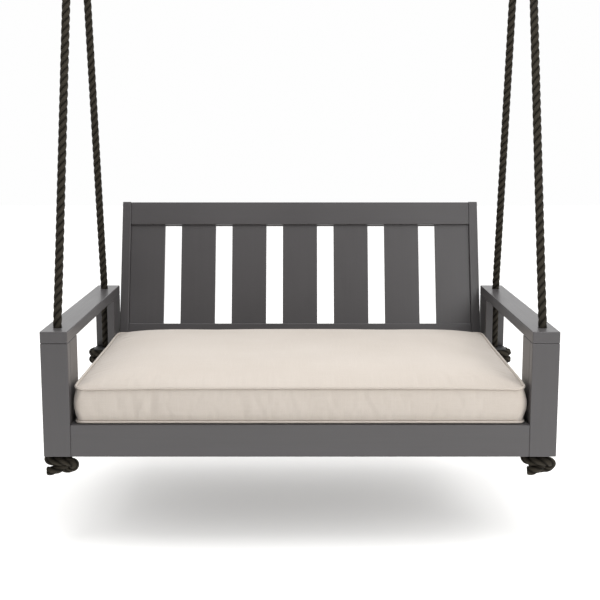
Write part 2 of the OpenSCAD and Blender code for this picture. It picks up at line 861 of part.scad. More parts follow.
module lag_bores() {
    for (up = lag_ups)
        rod_x(lag_d / 2, back_inner_x - cut, back_inner_x + lag_l, lag_y(up), seat_z + up);
}

module back_lag_screws() {
    color(ZINC) for (side = [LEFT, RIGHT]) on_side(side) for (up = lag_ups)
        translate([0, lag_y(up), seat_z + up]) {
            rod_x(lag_d / 2, back_inner_x - washer_t, back_inner_x + lag_l, 0, 0);
            rod_x(lag_d, back_inner_x - washer_t, back_inner_x, 0, 0);
            hex_x(lag_d * hex_k, back_inner_x - washer_t - lag_d * head_k,
                  back_inner_x - washer_t, 0, 0);
        }
}

module arm_dowels() {
    color(TIMBER) for (side = [LEFT, RIGHT]) on_side(side) dowel_holes();
}

screw_l = 32;
bracket_screw_in = 15;
flange_screw_in = 8;
flange_screw_k = 0.6;
screw_bite_k = 0.7;
bracket_side_ys = [
    back_board_y - bracket_reach + flange_screw_in, back_board_y - flange_screw_in
];
slat_screw_xs = [
    -side_rail_x + cleat_w / 2, 0, side_rail_x - cleat_w / 2
];

module slat_screw_bores() {
    for (i = [0:seat_slat_n - 1]) for (x = slat_screw_xs)
        translate([x, seat_slat_y(i) + seat_slat_w / 2, seat_z - screw_l])
            cylinder(d = screw_d, h = screw_l);
}

module bracket_screw_bores() {
    // Two screws up through the plate and two sideways through the flange
    for (x = [inner_board_x + bracket_screw_in, outer_x - bracket_screw_in])
        translate([x, back_board_y + leg_face_t / 2, bracket_z])
            cylinder(d = screw_d, h = screw_l);
    for (y = bracket_side_ys)
        rod_x(screw_d / 2, inner_board_x - leg_inner_t * screw_bite_k, inner_board_x + flange_t,
              y, back_board_z + flange_h * flange_screw_k);
}

module wood_screws() {
    // Countersunk flush, so each screw fills its own bore
    color(ZINC) {
        slat_screw_bores();
        for (side = [LEFT, RIGHT]) on_side(side) bracket_screw_bores();
    }
}

// ---- Cushion ----

cushion_w = 2 * (inner_x - cushion_side_gap);
cushion_l = back_y - cushion_rear_gap - front_y - cushion_setback;
cushion_y = front_y + cushion_setback + cushion_l / 2;
cushion_z = seat_z + soft_gap;
cushion_corner = 45;
cushion_steps = 6;

// Outline at the piped edge: straight sides drawn in a little between rounded corners
function side_pull(t) = cushion_draw * (1 - pow(t, 4));
function corner_arc(qx, qy, hx, hy, r) = [
    for (i = [0:cushion_steps - 1]) let (a = 90 * i / (cushion_steps - 1))
        [qx * (hx - r + r * cos(a)), qy * (hy - r + r * sin(a))]
];
function edge_points(a, b, n) = [for (i = [1:n - 1]) mix(a, b, i / n)];
function outline(grow) = let (
    hx = cushion_w / 2 + grow,
    hy = cushion_l / 2 + grow,
    r = cushion_corner + grow,
    q1 = corner_arc(1, 1, hx, hy, r),
    q2 = reversed(corner_arc(-1, 1, hx, hy, r)),
    q3 = corner_arc(-1, -1, hx, hy, r),
    q4 = reversed(corner_arc(1, -1, hx, hy, r)),
    loop = concat(q1, edge_points(q1[len(q1) - 1], q2[0], 10), q2,
                  edge_points(q2[len(q2) - 1], q3[0], 7), q3,
                  edge_points(q3[len(q3) - 1], q4[0], 10), q4,
                  edge_points(q4[len(q4) - 1], q1[0], 7))
) [
    for (p = loop) let (u = p[0] / hx, v = p[1] / hy)
        [p[0] - sign(u) * pow(abs(u), 6) * side_pull(v),
         p[1] - sign(v) * pow(abs(v), 6) * side_pull(u)]
];

// Crown over the piped edge at a point, from 0 at the edge to the full rise in the middle
function crown(p) = let (
    u = min(1, abs(p[0]) / (cushion_w / 2)),
    v = min(1, abs(p[1]) / (cushion_l / 2))
) cushion_crown * pow((1 - pow(u, 8)) * (1 - pow(v, 6)), 0.6);

// Side wall: level over the height, as [height share, swell share]
wall_profile = [[0, -1.2], [0.05, 0], [0.25, 0.8], [0.5, 1], [0.75, 0.8], [0.96, 0], [1, -0.4]];
// Top: rings drawn in towards the middle
top_rings = [0.975, 0.93, 0.82, 0.62, 0.36];

module seat_cushion() {
    edge = outline(0);
    n = len(edge);
    wall = [
        for (w = wall_profile) for (p = outline(w[1] * cushion_swell))
            [p[0], p[1], w[0] * cushion_h]
    ];
    top = [
        for (s = top_rings) for (p = edge)
            [p[0] * s, p[1] * s, cushion_h + crown(p * s)]
    ];
    middle = [[0, 0, cushion_h + cushion_crown]];
    bottom = [[0, 0, 0]];
    rows = len(wall_profile) + len(top_rings);
    points = concat(wall, top, middle, bottom);
    sides = [
        for (i = [0:rows - 2]) for (k = [0:n - 1])
            let (a = i * n + k, b = i * n + (k + 1) % n)
                each [[a, a + n, b], [b, a + n, b + n]]
    ];
    caps = [
        for (k = [0:n - 1]) let (t = (rows - 1) * n, j = (k + 1) % n)
            each [[t + k, rows * n, t + j], [k, j, rows * n + 1]]
    ];
    color(CLOTH) translate([0, cushion_y, cushion_z])
        polyhedron(points = points, faces = concat(sides, caps));
}

// ---- The nodes ----

ceiling_plate(LEFT);  // left_ceiling_plate
ceiling_plate(RIGHT);  // right_ceiling_plate
pivot_bolt(LEFT);  // left_pivot_bolt
pivot_bolt(RIGHT);  // right_pivot_bolt
pivot_nuts();
pivot_bushing(LEFT);  // left_pivot_bushing
pivot_bushing(RIGHT);  // right_pivot_bushing
hanger_link(LEFT);  // left_hanger_link
hanger_link(RIGHT);  // right_hanger_link
shackle_bow(LEFT);  // left_shackle_bow
shackle_bow(RIGHT);  // right_shackle_bow
shackle_pin(LEFT);  // left_shackle_pin
shackle_pin(RIGHT);  // right_shackle_pin
thimble(LEFT);  // left_thimble
thimble(RIGHT);  // right_thimble
rope_bight(LEFT);  // left_rope_bight
rope_bight(RIGHT);  // right_rope_bight
seizing(LEFT);  // left_seizing
seizing(RIGHT);  // right_seizing
rope(LEFT, FRONT);  // left_front_rope
rope(RIGHT, FRONT);  // right_front_rope
rope(LEFT, REAR);  // left_rear_rope
rope(RIGHT, REAR);  // right_rear_rope
front_knot(LEFT);  // left_front_knot
front_knot(RIGHT);  // right_front_knot
rear_knot(LEFT);  // left_rear_knot
rear_knot(RIGHT);  // right_rear_knot
arm(LEFT);  // left_arm
arm(RIGHT);  // right_arm
front_leg_face(LEFT);  // left_front_leg_face
front_leg_face(RIGHT);  // right_front_leg_face
front_leg_inner(LEFT);  // left_front_leg_inner
front_leg_inner(RIGHT);  // right_front_leg_inner
foot_block(LEFT);  // left_foot_block
foot_block(RIGHT);  // right_foot_block
rear_leg_inner(LEFT);  // left_rear_leg_inner
rear_leg_inner(RIGHT);  // right_rear_leg_inner
rear_leg_back(LEFT);  // left_rear_leg_back
rear_leg_back(RIGHT);  // right_rear_leg_back
rope_bracket(LEFT);  // left_rope_bracket
rope_bracket(RIGHT);  // right_rope_bracket
front_rail();
rear_rail();
side_rail(LEFT);  // left_side_rail
side_rail(RIGHT);  // right_side_rail
centre_beam();
slat_cleat(LEFT);  // left_slat_cleat
slat_cleat(RIGHT);  // right_slat_cleat
seat_slats();
back_stile(LEFT);  // left_back_stile
back_stile(RIGHT);  // right_back_stile
back_top_rail();
back_bottom_rail();
back_slats();
leg_bolts();
back_lag_screws();
arm_dowels();
wood_screws();
seat_cushion();
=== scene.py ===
"""Dresses the hanging swing bed in its real finishes and sets it in a white studio.

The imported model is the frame. Sizes and places are read from it, or repeat a named value of the part's
source in metres. +Z is up, the swing's front faces -Y, and the origin lies on the ceiling plane midway
between the four bolt holes. Left and right are as seen from the front.
"""
import json
import logging
import math
from dataclasses import dataclass, field
from enum import Enum

import bmesh
import bpy
import numpy as np
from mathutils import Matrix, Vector


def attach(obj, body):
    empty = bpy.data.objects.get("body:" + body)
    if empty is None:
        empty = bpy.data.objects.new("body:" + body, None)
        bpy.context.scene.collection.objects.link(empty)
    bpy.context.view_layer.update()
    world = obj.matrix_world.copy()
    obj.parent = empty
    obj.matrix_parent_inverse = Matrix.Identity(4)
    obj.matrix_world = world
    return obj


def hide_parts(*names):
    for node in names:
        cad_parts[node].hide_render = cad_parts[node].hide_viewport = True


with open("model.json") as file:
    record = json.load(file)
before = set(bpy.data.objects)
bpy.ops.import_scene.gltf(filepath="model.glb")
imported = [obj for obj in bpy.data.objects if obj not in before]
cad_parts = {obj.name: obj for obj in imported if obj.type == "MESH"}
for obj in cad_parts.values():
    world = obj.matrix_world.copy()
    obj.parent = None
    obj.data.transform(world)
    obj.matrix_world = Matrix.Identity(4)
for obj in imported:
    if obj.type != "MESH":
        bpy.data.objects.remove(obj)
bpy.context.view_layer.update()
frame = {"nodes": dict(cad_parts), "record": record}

MM = 0.001
TURN = 2 * math.pi
TINY = 1e-9
Number = float | np.ndarray
Value = float | tuple | bpy.types.NodeSocket
log = logging.getLogger("swing_bed")


class Side(Enum):
    """The two sides of the swing, with the sign of their X."""

    LEFT = -1
    RIGHT = 1

    @property
    def label(self) -> str:
        """The side's name as the nodes spell it."""
        return self.name.lower()


class End(Enum):
    """The two ends of an arm, with the sign of the rope's place under the thimble."""

    FRONT = -1
    REAR = 1


class Grain(Enum):
    """The way the grain of a board runs, as the turns in degrees that stand it upright."""

    ACROSS = (0.0, -90.0, 0.0)
    ALONG = (90.0, 0.0, 0.0)
    UPRIGHT = (0.0, 0.0, 0.0)
    SLOPED = (17.8, 0.0, 0.0)


# ---- Meshes from arrays ----


def grid_faces(rows: int, columns: int, wraps: bool) -> np.ndarray:
    """Joins a grid of points into four-sided faces: row i, column k with row i + 1, column k + 1.

    Args:
        rows: Number of rows of points.
        columns: Number of points in a row.
        wraps: Whether the last column joins the first.

    Returns:
        The faces as an array of four point numbers each, row by row.
    """
    i = np.arange(rows - 1)[:, None] * columns
    k = np.arange(columns if wraps else columns - 1)[None, :]
    after = (k + 1) % columns
    corners = [i + k, i + after, i + columns + after, i + columns + k]
    return np.stack(np.broadcast_arrays(*corners), axis=-1).reshape(-1, 4)


def grid_corners(across: np.ndarray, along: np.ndarray) -> np.ndarray:
    """Map coordinates of every corner of the faces that grid_faces makes.

    Args:
        across: One value a column, with one more than the columns where the grid wraps.
        along: One value a row.

    Returns:
        Two numbers a corner, in the order of the faces' corners.
    """
    a, b = np.meshgrid(across[:-1], along[:-1])
    c, d = np.meshgrid(across[1:], along[1:])
    corners = [(a, b), (c, b), (c, d), (a, d)]
    return np.stack([np.stack(p, axis=-1) for p in corners], axis=2).reshape(-1, 2)


def new_piece(name: str, points: np.ndarray, faces: list,
              uv: np.ndarray | None = None) -> bpy.types.Object:
    """Makes a smooth-shaded piece at the origin whose faces point outwards.

    The faces of a closed shell are turned round where the sum over its triangles of a . (b x c) is
    negative, because that sum is six times its volume.

    Args:
        name: The piece's name.
        points: The points, in metres.
        faces: Lists of point numbers.
        uv: Map coordinates of the faces' corners, in the order of the faces.

    Returns:
        The new object.
    """
    sizes = np.array([len(f) for f in faces])
    flat = np.concatenate([np.asarray(f) for f in faces])
    starts = np.concatenate([[0], np.cumsum(sizes)[:-1]])
    a, b, c = (points[flat[starts + i]] for i in range(3))
    volume = np.einsum("ij,ij->i", a, np.cross(b, c)).sum()
    fourth = sizes == 4
    d = points[flat[np.where(fourth, starts + 3, starts)]]
    volume += np.einsum("ij,ij->i", a, np.cross(c, d))[fourth].sum()
    if volume < 0:
        ends = np.repeat(starts + sizes, sizes)
        order = np.repeat(starts, sizes) + (ends - 1 - np.arange(len(flat)))
        flat = flat[order]
        uv = None if uv is None else uv[order]
    mesh = bpy.data.meshes.new(name)
    mesh.vertices.add(len(points))
    mesh.vertices.foreach_set("co", points.astype(np.float32).ravel())
    mesh.loops.add(len(flat))
    mesh.loops.foreach_set("vertex_index", flat.astype(np.int32))
    mesh.polygons.add(len(sizes))
    mesh.polygons.foreach_set("loop_start", starts.astype(np.int32))
    mesh.update(calc_edges=True)
    mesh.validate()
    if uv is not None:
        layer = mesh.uv_layers.new(name="cloth")
        layer.data.foreach_set("uv", uv.astype(np.float32).ravel())
    mesh.polygons.foreach_set("use_smooth", np.ones(len(sizes), bool))
    piece = bpy.data.objects.new(name, mesh)
    bpy.context.scene.collection.objects.link(piece)
    return piece


def capped(rings: np.ndarray, tips: np.ndarray) -> tuple[np.ndarray, list]:
    """Closes a tube of rings with a fan of triangles to one point at each end.

    Args:
        rings: The points as an array of rows, columns and axes.
        tips: The two end points.

    Returns:
        All the points, and the faces.
    """
    rows, columns = rings.shape[:2]
    points = np.concatenate([rings.reshape(-1, 3), tips])
    k = np.arange(columns)
    after = (k + 1) % columns
    last = (rows - 1) * columns
    start = np.stack([after, k, np.full(columns, rows * columns)], axis=1)
    end = np.stack([last + k, last + after, np.full(columns, rows * columns + 1)], axis=1)
    return points, [*grid_faces(rows, columns, True), *start, *end]


def unit(v: np.ndarray) -> np.ndarray:
    """The vectors at length one."""
    return v / np.linalg.norm(v, axis=-1, keepdims=True)


def curve_through(points: np.ndarray, per_span: int) -> np.ndarray:
    """A smooth curve through every point, with knots spaced by the square root of the spans.

    On each span the curve is the nested linear blend of its four nearest points, so the tangent at a
    point leans towards the shorter span.

    Args:
        points: The points that the curve passes, in order.
        per_span: Number of steps from one point to the next.

    Returns:
        The curve's points. Every per_span-th one is a given point.
    """
    ends = [2 * points[0] - points[1]], [2 * points[-1] - points[-2]]
    p = np.concatenate([ends[0], points, ends[1]])
    gaps = np.sqrt(np.linalg.norm(np.diff(p, axis=0), axis=1))
    knots = np.concatenate([[0], np.cumsum(gaps)])
    t0, t1, t2, t3 = (knots[i : len(knots) - 3 + i, None, None] for i in range(4))
    p0, p1, p2, p3 = (p[i : len(p) - 3 + i, None, :] for i in range(4))
    t = t1 + (t2 - t1) * (np.arange(per_span) / per_span)[None, :, None]
    a1 = ((t1 - t) * p0 + (t - t0) * p1) / (t1 - t0)
    a2 = ((t2 - t) * p1 + (t - t1) * p2) / (t2 - t1)
    a3 = ((t3 - t) * p2 + (t - t2) * p3) / (t3 - t2)
    b1 = ((t2 - t) * a1 + (t - t0) * a2) / (t2 - t0)
    b2 = ((t3 - t) * a2 + (t - t1) * a3) / (t3 - t1)
    curve = ((t2 - t) * b1 + (t - t1) * b2) / (t2 - t1)
    return np.concatenate([curve.reshape(-1, 3), points[-1:]])


def lengths_along(line: np.ndarray) -> np.ndarray:
    """How much of a line lies before each of its points."""
    return np.concatenate([[0], np.cumsum(np.linalg.norm(np.diff(line, axis=0), axis=1))])


def evenly(line: np.ndarray, step: float) -> np.ndarray:
    """The line again with points about a step apart along it."""
    along = lengths_along(line)
    at = np.linspace(0, along[-1], max(3, math.ceil(along[-1] / step) + 1))
    return np.stack([np.interp(at, along, line[:, axis]) for axis in range(3)], axis=1)


def frames_along(line: np.ndarray, first: np.ndarray) -> tuple[np.ndarray, np.ndarray]:
    """Two directions square to a line that turn about it as little as they can.

    Each normal is the one before it with its part along the new tangent taken out.

    Args:
        line: Points along the line.
        first: A direction that isn't along the line's start.

    Returns:
        The normals, and the tangents crossed with them.
    """
    tangents = unit(np.gradient(line, axis=0))
    normals = np.empty_like(line)
    normal = first
    for i, tangent in enumerate(tangents):
        normal = unit(normal - tangent * (normal @ tangent))
        normals[i] = normal
    return normals, np.cross(tangents, normals)


def bend_from(a: np.ndarray, b: np.ndarray, c: np.ndarray, d: np.ndarray, t: np.ndarray) -> np.ndarray:
    """Points at the shares t of the bend from a to d that starts towards b and comes in from c.

    It is (1 - t)^3 a + 3 t (1 - t)^2 b + 3 t^2 (1 - t) c + t^3 d.
    """
    t = t[:, None]
    return (1 - t) ** 3 * a + 3 * t * (1 - t) ** 2 * b + 3 * t * t * (1 - t) * c + t**3 * d


def mix(a: Number, b: Number, t: Number) -> Number:
    """The value that lies the share t of the way from a to b."""
    return a + (b - a) * t


def ease(t: Number) -> Number:
    """A share from 0 to 1 that is made level at both ends: 3 t^2 - 2 t^3."""
    return t * t * (3 - 2 * t)


# ---- Shader building ----


class Shader:
    """A small hand for wiring one node tree."""

    def __init__(self, tree: bpy.types.NodeTree) -> None:
        """Keeps the tree that nodes go into."""
        self.tree = tree

    def node(self, kind: str, inputs: dict | None = None, **settings) -> bpy.types.Node:
        """Adds a node.

        Args:
            kind: The node's type without its ShaderNode prefix.
            inputs: Values or sockets by input name or number.
            **settings: The node's own settings.

        Returns:
            The new node.
        """
        new = self.tree.nodes.new("ShaderNode" + kind)
        for name, value in settings.items():
            setattr(new, name, value)
        for key, value in (inputs or {}).items():
            self.feed(new.inputs[key], value)
        return new

    def feed(self, socket: bpy.types.NodeSocket, value: Value) -> None:
        """Links another node's socket to this one, or sets its value."""
        if isinstance(value, bpy.types.NodeSocket):
            self.tree.links.new(value, socket)
        else:
            socket.default_value = value

    def place(self) -> bpy.types.NodeSocket:
        """The point's place on its own object, in metres."""
        return self.node("TexCoord").outputs["Object"]

    def cloth(self) -> bpy.types.NodeSocket:
        """The point's place on the piece's own map."""
        return self.node("UVMap", uv_map="cloth").outputs[0]

    def parts(self, vector: Value) -> bpy.types.bpy_prop_collection:
        """The three numbers of a vector."""
        return self.node("SeparateXYZ", {0: vector}).outputs

    def math(self, operation: str, *values: Value, clamp: bool = False) -> bpy.types.NodeSocket:
        """The result of one arithmetic step on sockets or numbers."""
        new = self.node("Math", dict(enumerate(values)), operation=operation, use_clamp=clamp)
        return new.outputs[0]

    def weighted(self, *parts: tuple[Value, float], clamp: bool = False) -> bpy.types.NodeSocket:
        """The sum of several values, each given with its weight."""
        total = 0.0
        for value, weight in parts:
            total = self.math("MULTIPLY_ADD", value, weight, total, clamp=clamp)
        return total

    def noise(self, vector: Value, scale: Value, detail: float,
              rough: float = 0.55) -> bpy.types.NodeSocket:
        """Smooth noise from 0 to 1 at that many waves a metre."""
        inputs = {"Vector": vector, "Scale": scale, "Detail": detail, "Roughness": rough}
        return self.node("TexNoise", inputs).outputs["Fac"]

    def spread(self, value: Value, low: float, high: float,
               to_low: float = 0.0, to_high: float = 1.0) -> bpy.types.NodeSocket:
        """Maps a value from one range to another, held to its ends."""
        inputs = {"Value": value, 1: low, 2: high, 3: to_low, 4: to_high}
        return self.node("MapRange", inputs).outputs[0]

    def tint(self, share: Value, dark: tuple, light: tuple) -> bpy.types.NodeSocket:
        """A colour between two, by a share from 0 to 1."""
        inputs = {0: share, 6: (*dark, 1.0), 7: (*light, 1.0)}
        return self.node("Mix", inputs, data_type="RGBA").outputs[2]

    def bump(self, height: Value, strength: float, distance: float,
             under: Value | None = None) -> bpy.types.NodeSocket:
        """A normal that follows a height; distance is the height's full range in metres."""
        inputs = {"Height": height, "Strength": strength, "Distance": distance}
        if under is not None:
            inputs["Normal"] = under
        return self.node("Bump", inputs).outputs[0]

    def finish(self, surface: bpy.types.Node, colour: Value, rough: Value, normal: Value) -> None:
        """Gives a surface its colour, its roughness and its normal."""
        for label, value in (("Base Color", colour), ("Roughness", rough), ("Normal", normal)):
            self.feed(surface.inputs[label], value)


def shader_group(name: str, inputs: dict,
                 outputs: tuple) -> tuple[Shader, bpy.types.Node, bpy.types.Node]:
    """Starts a shared node group.

    Args:
        name: The group's name.
        inputs: Each input's name with its default number, or None for a vector.
        outputs: The names of its outputs, all numbers.

    Returns:
        The shader that fills it, its input node and its output node.
    """
    tree = bpy.data.node_groups.new(name, "ShaderNodeTree")
    for label, value in inputs.items():
        kind = "NodeSocketVector" if value is None else "NodeSocketFloat"
        socket = tree.interface.new_socket(label, in_out="INPUT", socket_type=kind)
        if value is not None:
            socket.default_value = value
    for label in outputs:
        tree.interface.new_socket(label, in_out="OUTPUT", socket_type="NodeSocketFloat")
    return Shader(tree), tree.nodes.new("NodeGroupInput"), tree.nodes.new("NodeGroupOutput")


def mottle_group() -> bpy.types.NodeTree:
    """Slow and fine mottling, for paint, metal and cloth alike. Puts out Slow and Fine, each 0 to 1."""
    scales = {"Vector": None, "Slow scale": 4.0, "Fine scale": 60.0}
    shader, given, result = shader_group("mottle", scales, ("Slow", "Fine"))
    for label, detail in (("Slow", 2.0), ("Fine", 4.0)):
        noise = shader.noise(given.outputs["Vector"], given.outputs[label + " scale"], detail, 0.5)
        shader.feed(result.inputs[label], shader.spread(noise, 0.3, 0.7))
    return shader.tree


def fibre_group() -> bpy.types.NodeTree:
    """Long fibres on coordinates whose Z runs along them. Puts out Height, 0 to 1."""
    scales = {"Vector": None, "Width": 900.0, "Length": 12.0}
    shader, given, result = shader_group("fibres", scales, ("Height",))
    parts = shader.parts(given.outputs["Vector"])
    waves = [given.outputs[label] for label in ("Width", "Width", "Length")]
    scaled = {i: shader.math("MULTIPLY", parts[i], wave) for i, wave in enumerate(waves)}
    stretched = shader.node("CombineXYZ", scaled).outputs[0]
    coarse = shader.noise(stretched, 0.25, 2.0)
    fine = shader.noise(stretched, 1.0, 3.0)
    both = shader.weighted((coarse, 0.55), (fine, 0.45))
    shader.feed(result.inputs["Height"], shader.spread(both, 0.32, 0.68))
    return shader.tree


@dataclass
class Groups:
    """The node groups that several finishes share."""

    mottle: bpy.types.NodeTree = field(default_factory=mottle_group)
    fibres: bpy.types.NodeTree = field(default_factory=fibre_group)

    def place(self, shader: Shader, tree: bpy.types.NodeTree,
              inputs: dict) -> bpy.types.bpy_prop_collection:
        """Puts a group into a material with that material's own values, and gives its outputs."""
        new = shader.tree.nodes.new("ShaderNodeGroup")
        new.node_tree = tree
        for key, value in inputs.items():
            shader.feed(new.inputs[key], value)
        return new.outputs

    def mottled(self, shader: Shader, slow: float, fine: float) -> bpy.types.bpy_prop_collection:
        """Mottling at that many waves a metre; its outputs are Slow and Fine."""
        scales = {"Vector": shader.place(), "Slow scale": slow, "Fine scale": fine}
        return self.place(shader, self.mottle, scales)

    def fibred(self, shader: Shader, vector: Value, width: float,
               length: float) -> bpy.types.NodeSocket:
        """The height of fibres, at that many waves a metre across and along them."""
        scales = {"Vector": vector, "Width": width, "Length": length}
        return self.place(shader, self.fibres, scales)["Height"]


def new_material(name: str, plain: dict) -> tuple[bpy.types.Material, Shader, bpy.types.Node]:
    """Starts a material on a Principled BSDF whose plain values are set on its own sockets."""
    material = bpy.data.materials.new(name)
    material.use_nodes = True
    surface = material.node_tree.nodes["Principled BSDF"]
    for label, value in plain.items():
        surface.inputs[label].default_value = value
    return material, Shader(material.node_tree), surface


# ---- Finishes ----


@dataclass(frozen=True)
class SatinPaint:
    """Grey satin paint brushed over planed timber, whose grain still shows faintly."""

    dark: tuple = (0.0675, 0.0635, 0.0650)
    light: tuple = (0.0785, 0.0740, 0.0760)
    rough: float = 0.27
    slot: str = "painted_wood"

    def material(self, groups: Groups, grain: Grain) -> bpy.types.Material:
        """The paint for boards whose grain runs that way."""
        plain = {"IOR": 1.5, "Specular IOR Level": 0.5, "Coat Weight": 0.0}
        material, shader, surface = new_material("paint_" + grain.name.lower(), plain)
        upright = {"Vector": shader.place(), "Rotation": [math.radians(a) for a in grain.value]}
        turned = shader.node("Mapping", upright).outputs[0]
        fibres = groups.fibred(shader, turned, 260.0, 7.0)
        brush = groups.fibred(shader, turned, 1500.0, 25.0)
        mottle = groups.mottled(shader, 2.3, 240.0)
        share = shader.weighted((mottle["Slow"], 0.6), (fibres, 0.4))
        rough = shader.weighted((brush, 0.07), (mottle["Slow"], 0.05), (self.rough, 1.0))
        grain_normal = shader.bump(fibres, 0.2, 0.0002)
        brush_normal = shader.bump(brush, 0.25, 0.00006, grain_normal)
        normal = shader.bump(mottle["Fine"], 0.12, 0.00005, brush_normal)
        shader.finish(surface, shader.tint(share, self.dark, self.light), rough, normal)
        return material


@dataclass(frozen=True)
class Timber:
    """Bare softwood, for the dowels."""

    dark: tuple = (0.38, 0.235, 0.115)
    light: tuple = (0.62, 0.43, 0.25)
    slot: str = "bare_wood"

    def material(self, groups: Groups) -> bpy.types.Material:
        """The wood's material."""
        plain = {"IOR": 1.45, "Specular IOR Level": 0.35}
        material, shader, surface = new_material("dowel_wood", plain)
        fibres = groups.fibred(shader, shader.place(), 900.0, 20.0)
        colour = shader.tint(fibres, self.dark, self.light)
        rough = shader.spread(fibres, 0, 1, 0.7, 0.55)
        shader.finish(surface, colour, rough, shader.bump(fibres, 0.5, 0.0002))
        return material


@dataclass(frozen=True)
class RopeFibre:
    """Twisted fibre: yarns run round each strand against its own turn. Its colour carries painted shade:
    near black in the grooves between strands, lighter towards each strand's crown, and a little darker
    between the yarns.

    Its map coordinates hold the angle round the strand as a share of a turn, and the length along
    the rope in metres.
    """

    name: str
    slot: str
    groove_shade: tuple
    crown: tuple
    yarns: float
    yarn_turns: float
    yarn_depth: float
    fuzz: float
    flank: tuple = (0.06, 0.24)

    def material(self, groups: Groups) -> bpy.types.Material:
        """The fibre's material."""
        plain = {"IOR": 1.45, "Specular IOR Level": 0.12}
        material, shader, surface = new_material(self.name, plain)
        around, along, _ = shader.parts(shader.cloth())
        mottle = groups.mottled(shader, 35.0, self.fuzz)
        yarns = (around, self.yarns), (along, self.yarn_turns), (mottle["Slow"], 0.35)
        phase = shader.math("MULTIPLY", shader.weighted(*yarns), TURN)
        ridge = shader.math("MULTIPLY_ADD", shader.math("SINE", phase), 0.5, 0.5)
        # Painted shade: the colour darkens from each strand's crown towards the grooves beside it, and
        # between the yarns.
        lit = shader.spread(shader.math("ABSOLUTE", around), *self.flank, 1.0, 0.0)
        share = shader.math("MULTIPLY", lit, shader.math("MULTIPLY_ADD", ridge, 0.45, 0.35))
        share = shader.math("MULTIPLY_ADD", mottle["Fine"], 0.2, share, clamp=True)
        colour = shader.tint(share, self.groove_shade, self.crown)
        yarn_normal = shader.bump(ridge, 0.8, self.yarn_depth)
        normal = shader.bump(mottle["Fine"], 0.5, self.yarn_depth * 0.5, yarn_normal)
        shader.finish(surface, colour, shader.spread(share, 0, 1, 0.9, 0.68), normal)
        return material


@dataclass(frozen=True)
class Metal:
    """Steel hardware: powder-coated black or bright zinc, mottled and slightly scuffed."""

    slot: str
    dark: tuple
    light: tuple
    metallic: float
    rough: tuple
    grit: float

    def material(self, groups: Groups) -> bpy.types.Material:
        """The metal's material."""
        plain = {"IOR": 1.5, "Metallic": self.metallic}
        material, shader, surface = new_material(self.slot, plain)
        mottle = groups.mottled(shader, 45.0, self.grit)
        share = shader.weighted((mottle["Slow"], 0.6), (mottle["Fine"], 0.4))
        colour = shader.tint(share, self.dark, self.light)
        rough = shader.spread(share, 0, 1, *self.rough)
        shader.finish(surface, colour, rough, shader.bump(mottle["Fine"], 0.35, 0.00008))
        return material


@dataclass(frozen=True)
class Canvas:
    """Plain woven outdoor cloth in a warm off-white, with slubs that thicken some threads.

    Its map coordinates are metres across and along the cloth. A thread of either run stands as high
    as the size of a cosine across it, and goes over or under the other run by the product of two sines.
    """

    dark: tuple = (0.518, 0.460, 0.403)
    light: tuple = (0.622, 0.568, 0.516)
    thread: float = 0.9 * MM
    slub_across: float = 420.0
    slub_along: float = 9.0
    slot: str = "cushion_cloth"

    def material(self, groups: Groups) -> bpy.types.Material:
        """The cloth's material."""
        plain = {"IOR": 1.4, "Specular IOR Level": 0.2, "Sheen Weight": 0.25, "Sheen Roughness": 0.45}
        material, shader, surface = new_material("cushion_canvas", plain)
        cloth = shader.cloth()
        half_turns = TURN / (2 * self.thread)
        phases = [shader.math("MULTIPLY", part, half_turns) for part in shader.parts(cloth)[:2]]
        waves = [shader.math("SINE", phase) for phase in phases]
        rounds = [shader.math("ABSOLUTE", shader.math("COSINE", phase)) for phase in phases]
        over = shader.math("MULTIPLY_ADD", shader.math("MULTIPLY", *waves), 0.5, 0.5)
        upper = shader.math("MULTIPLY", rounds[0], over)
        lower = shader.math("MULTIPLY", rounds[1], shader.math("SUBTRACT", 1.0, over))
        weave = shader.math("MAXIMUM", upper, lower)
        slubs = []
        for x, y in ((self.slub_across, self.slub_along), (self.slub_along, self.slub_across)):
            stretched = shader.node("Mapping", {"Vector": cloth, "Scale": (x, y, 1.0)}).outputs[0]
            slubs.append(shader.spread(shader.noise(stretched, 1.0, 2.0), 0.45, 0.72))
        slub = shader.math("MAXIMUM", *slubs)
        mottle = groups.mottled(shader, 5.0, 320.0)
        # Painted shade darkens the weave's low places between the threads; the slubs and mottling vary the
        # cloth's tone.
        share = shader.weighted((weave, 0.35), (slub, 0.22), (mottle["Slow"], 0.25),
                                (mottle["Fine"], 0.18), clamp=True)
        colour = shader.tint(share, self.dark, self.light)
        normal = shader.bump(slub, 0.4, 0.00025, shader.bump(weave, 0.6, 0.00018))
        shader.finish(surface, colour, shader.spread(share, 0, 1, 0.95, 0.82), normal)
        return material


@dataclass(frozen=True)
class Nylon:
    """Natural nylon of the bushings."""

    dark: tuple = (0.72, 0.70, 0.62)
    light: tuple = (0.82, 0.80, 0.73)
    slot: str = "nylon"

    def material(self, groups: Groups) -> bpy.types.Material:
        """The plastic's material."""
        plain = {"IOR": 1.53, "Subsurface Weight": 0.1, "Subsurface Scale": 0.002}
        material, shader, surface = new_material("bushing_nylon", plain)
        mottle = groups.mottled(shader, 60.0, 1500.0)
        colour = shader.tint(mottle["Slow"], self.dark, self.light)
        rough = shader.spread(mottle["Fine"], 0, 1, 0.42, 0.5)
        shader.finish(surface, colour, rough, shader.bump(mottle["Fine"], 0.2, 0.00004))
        return material


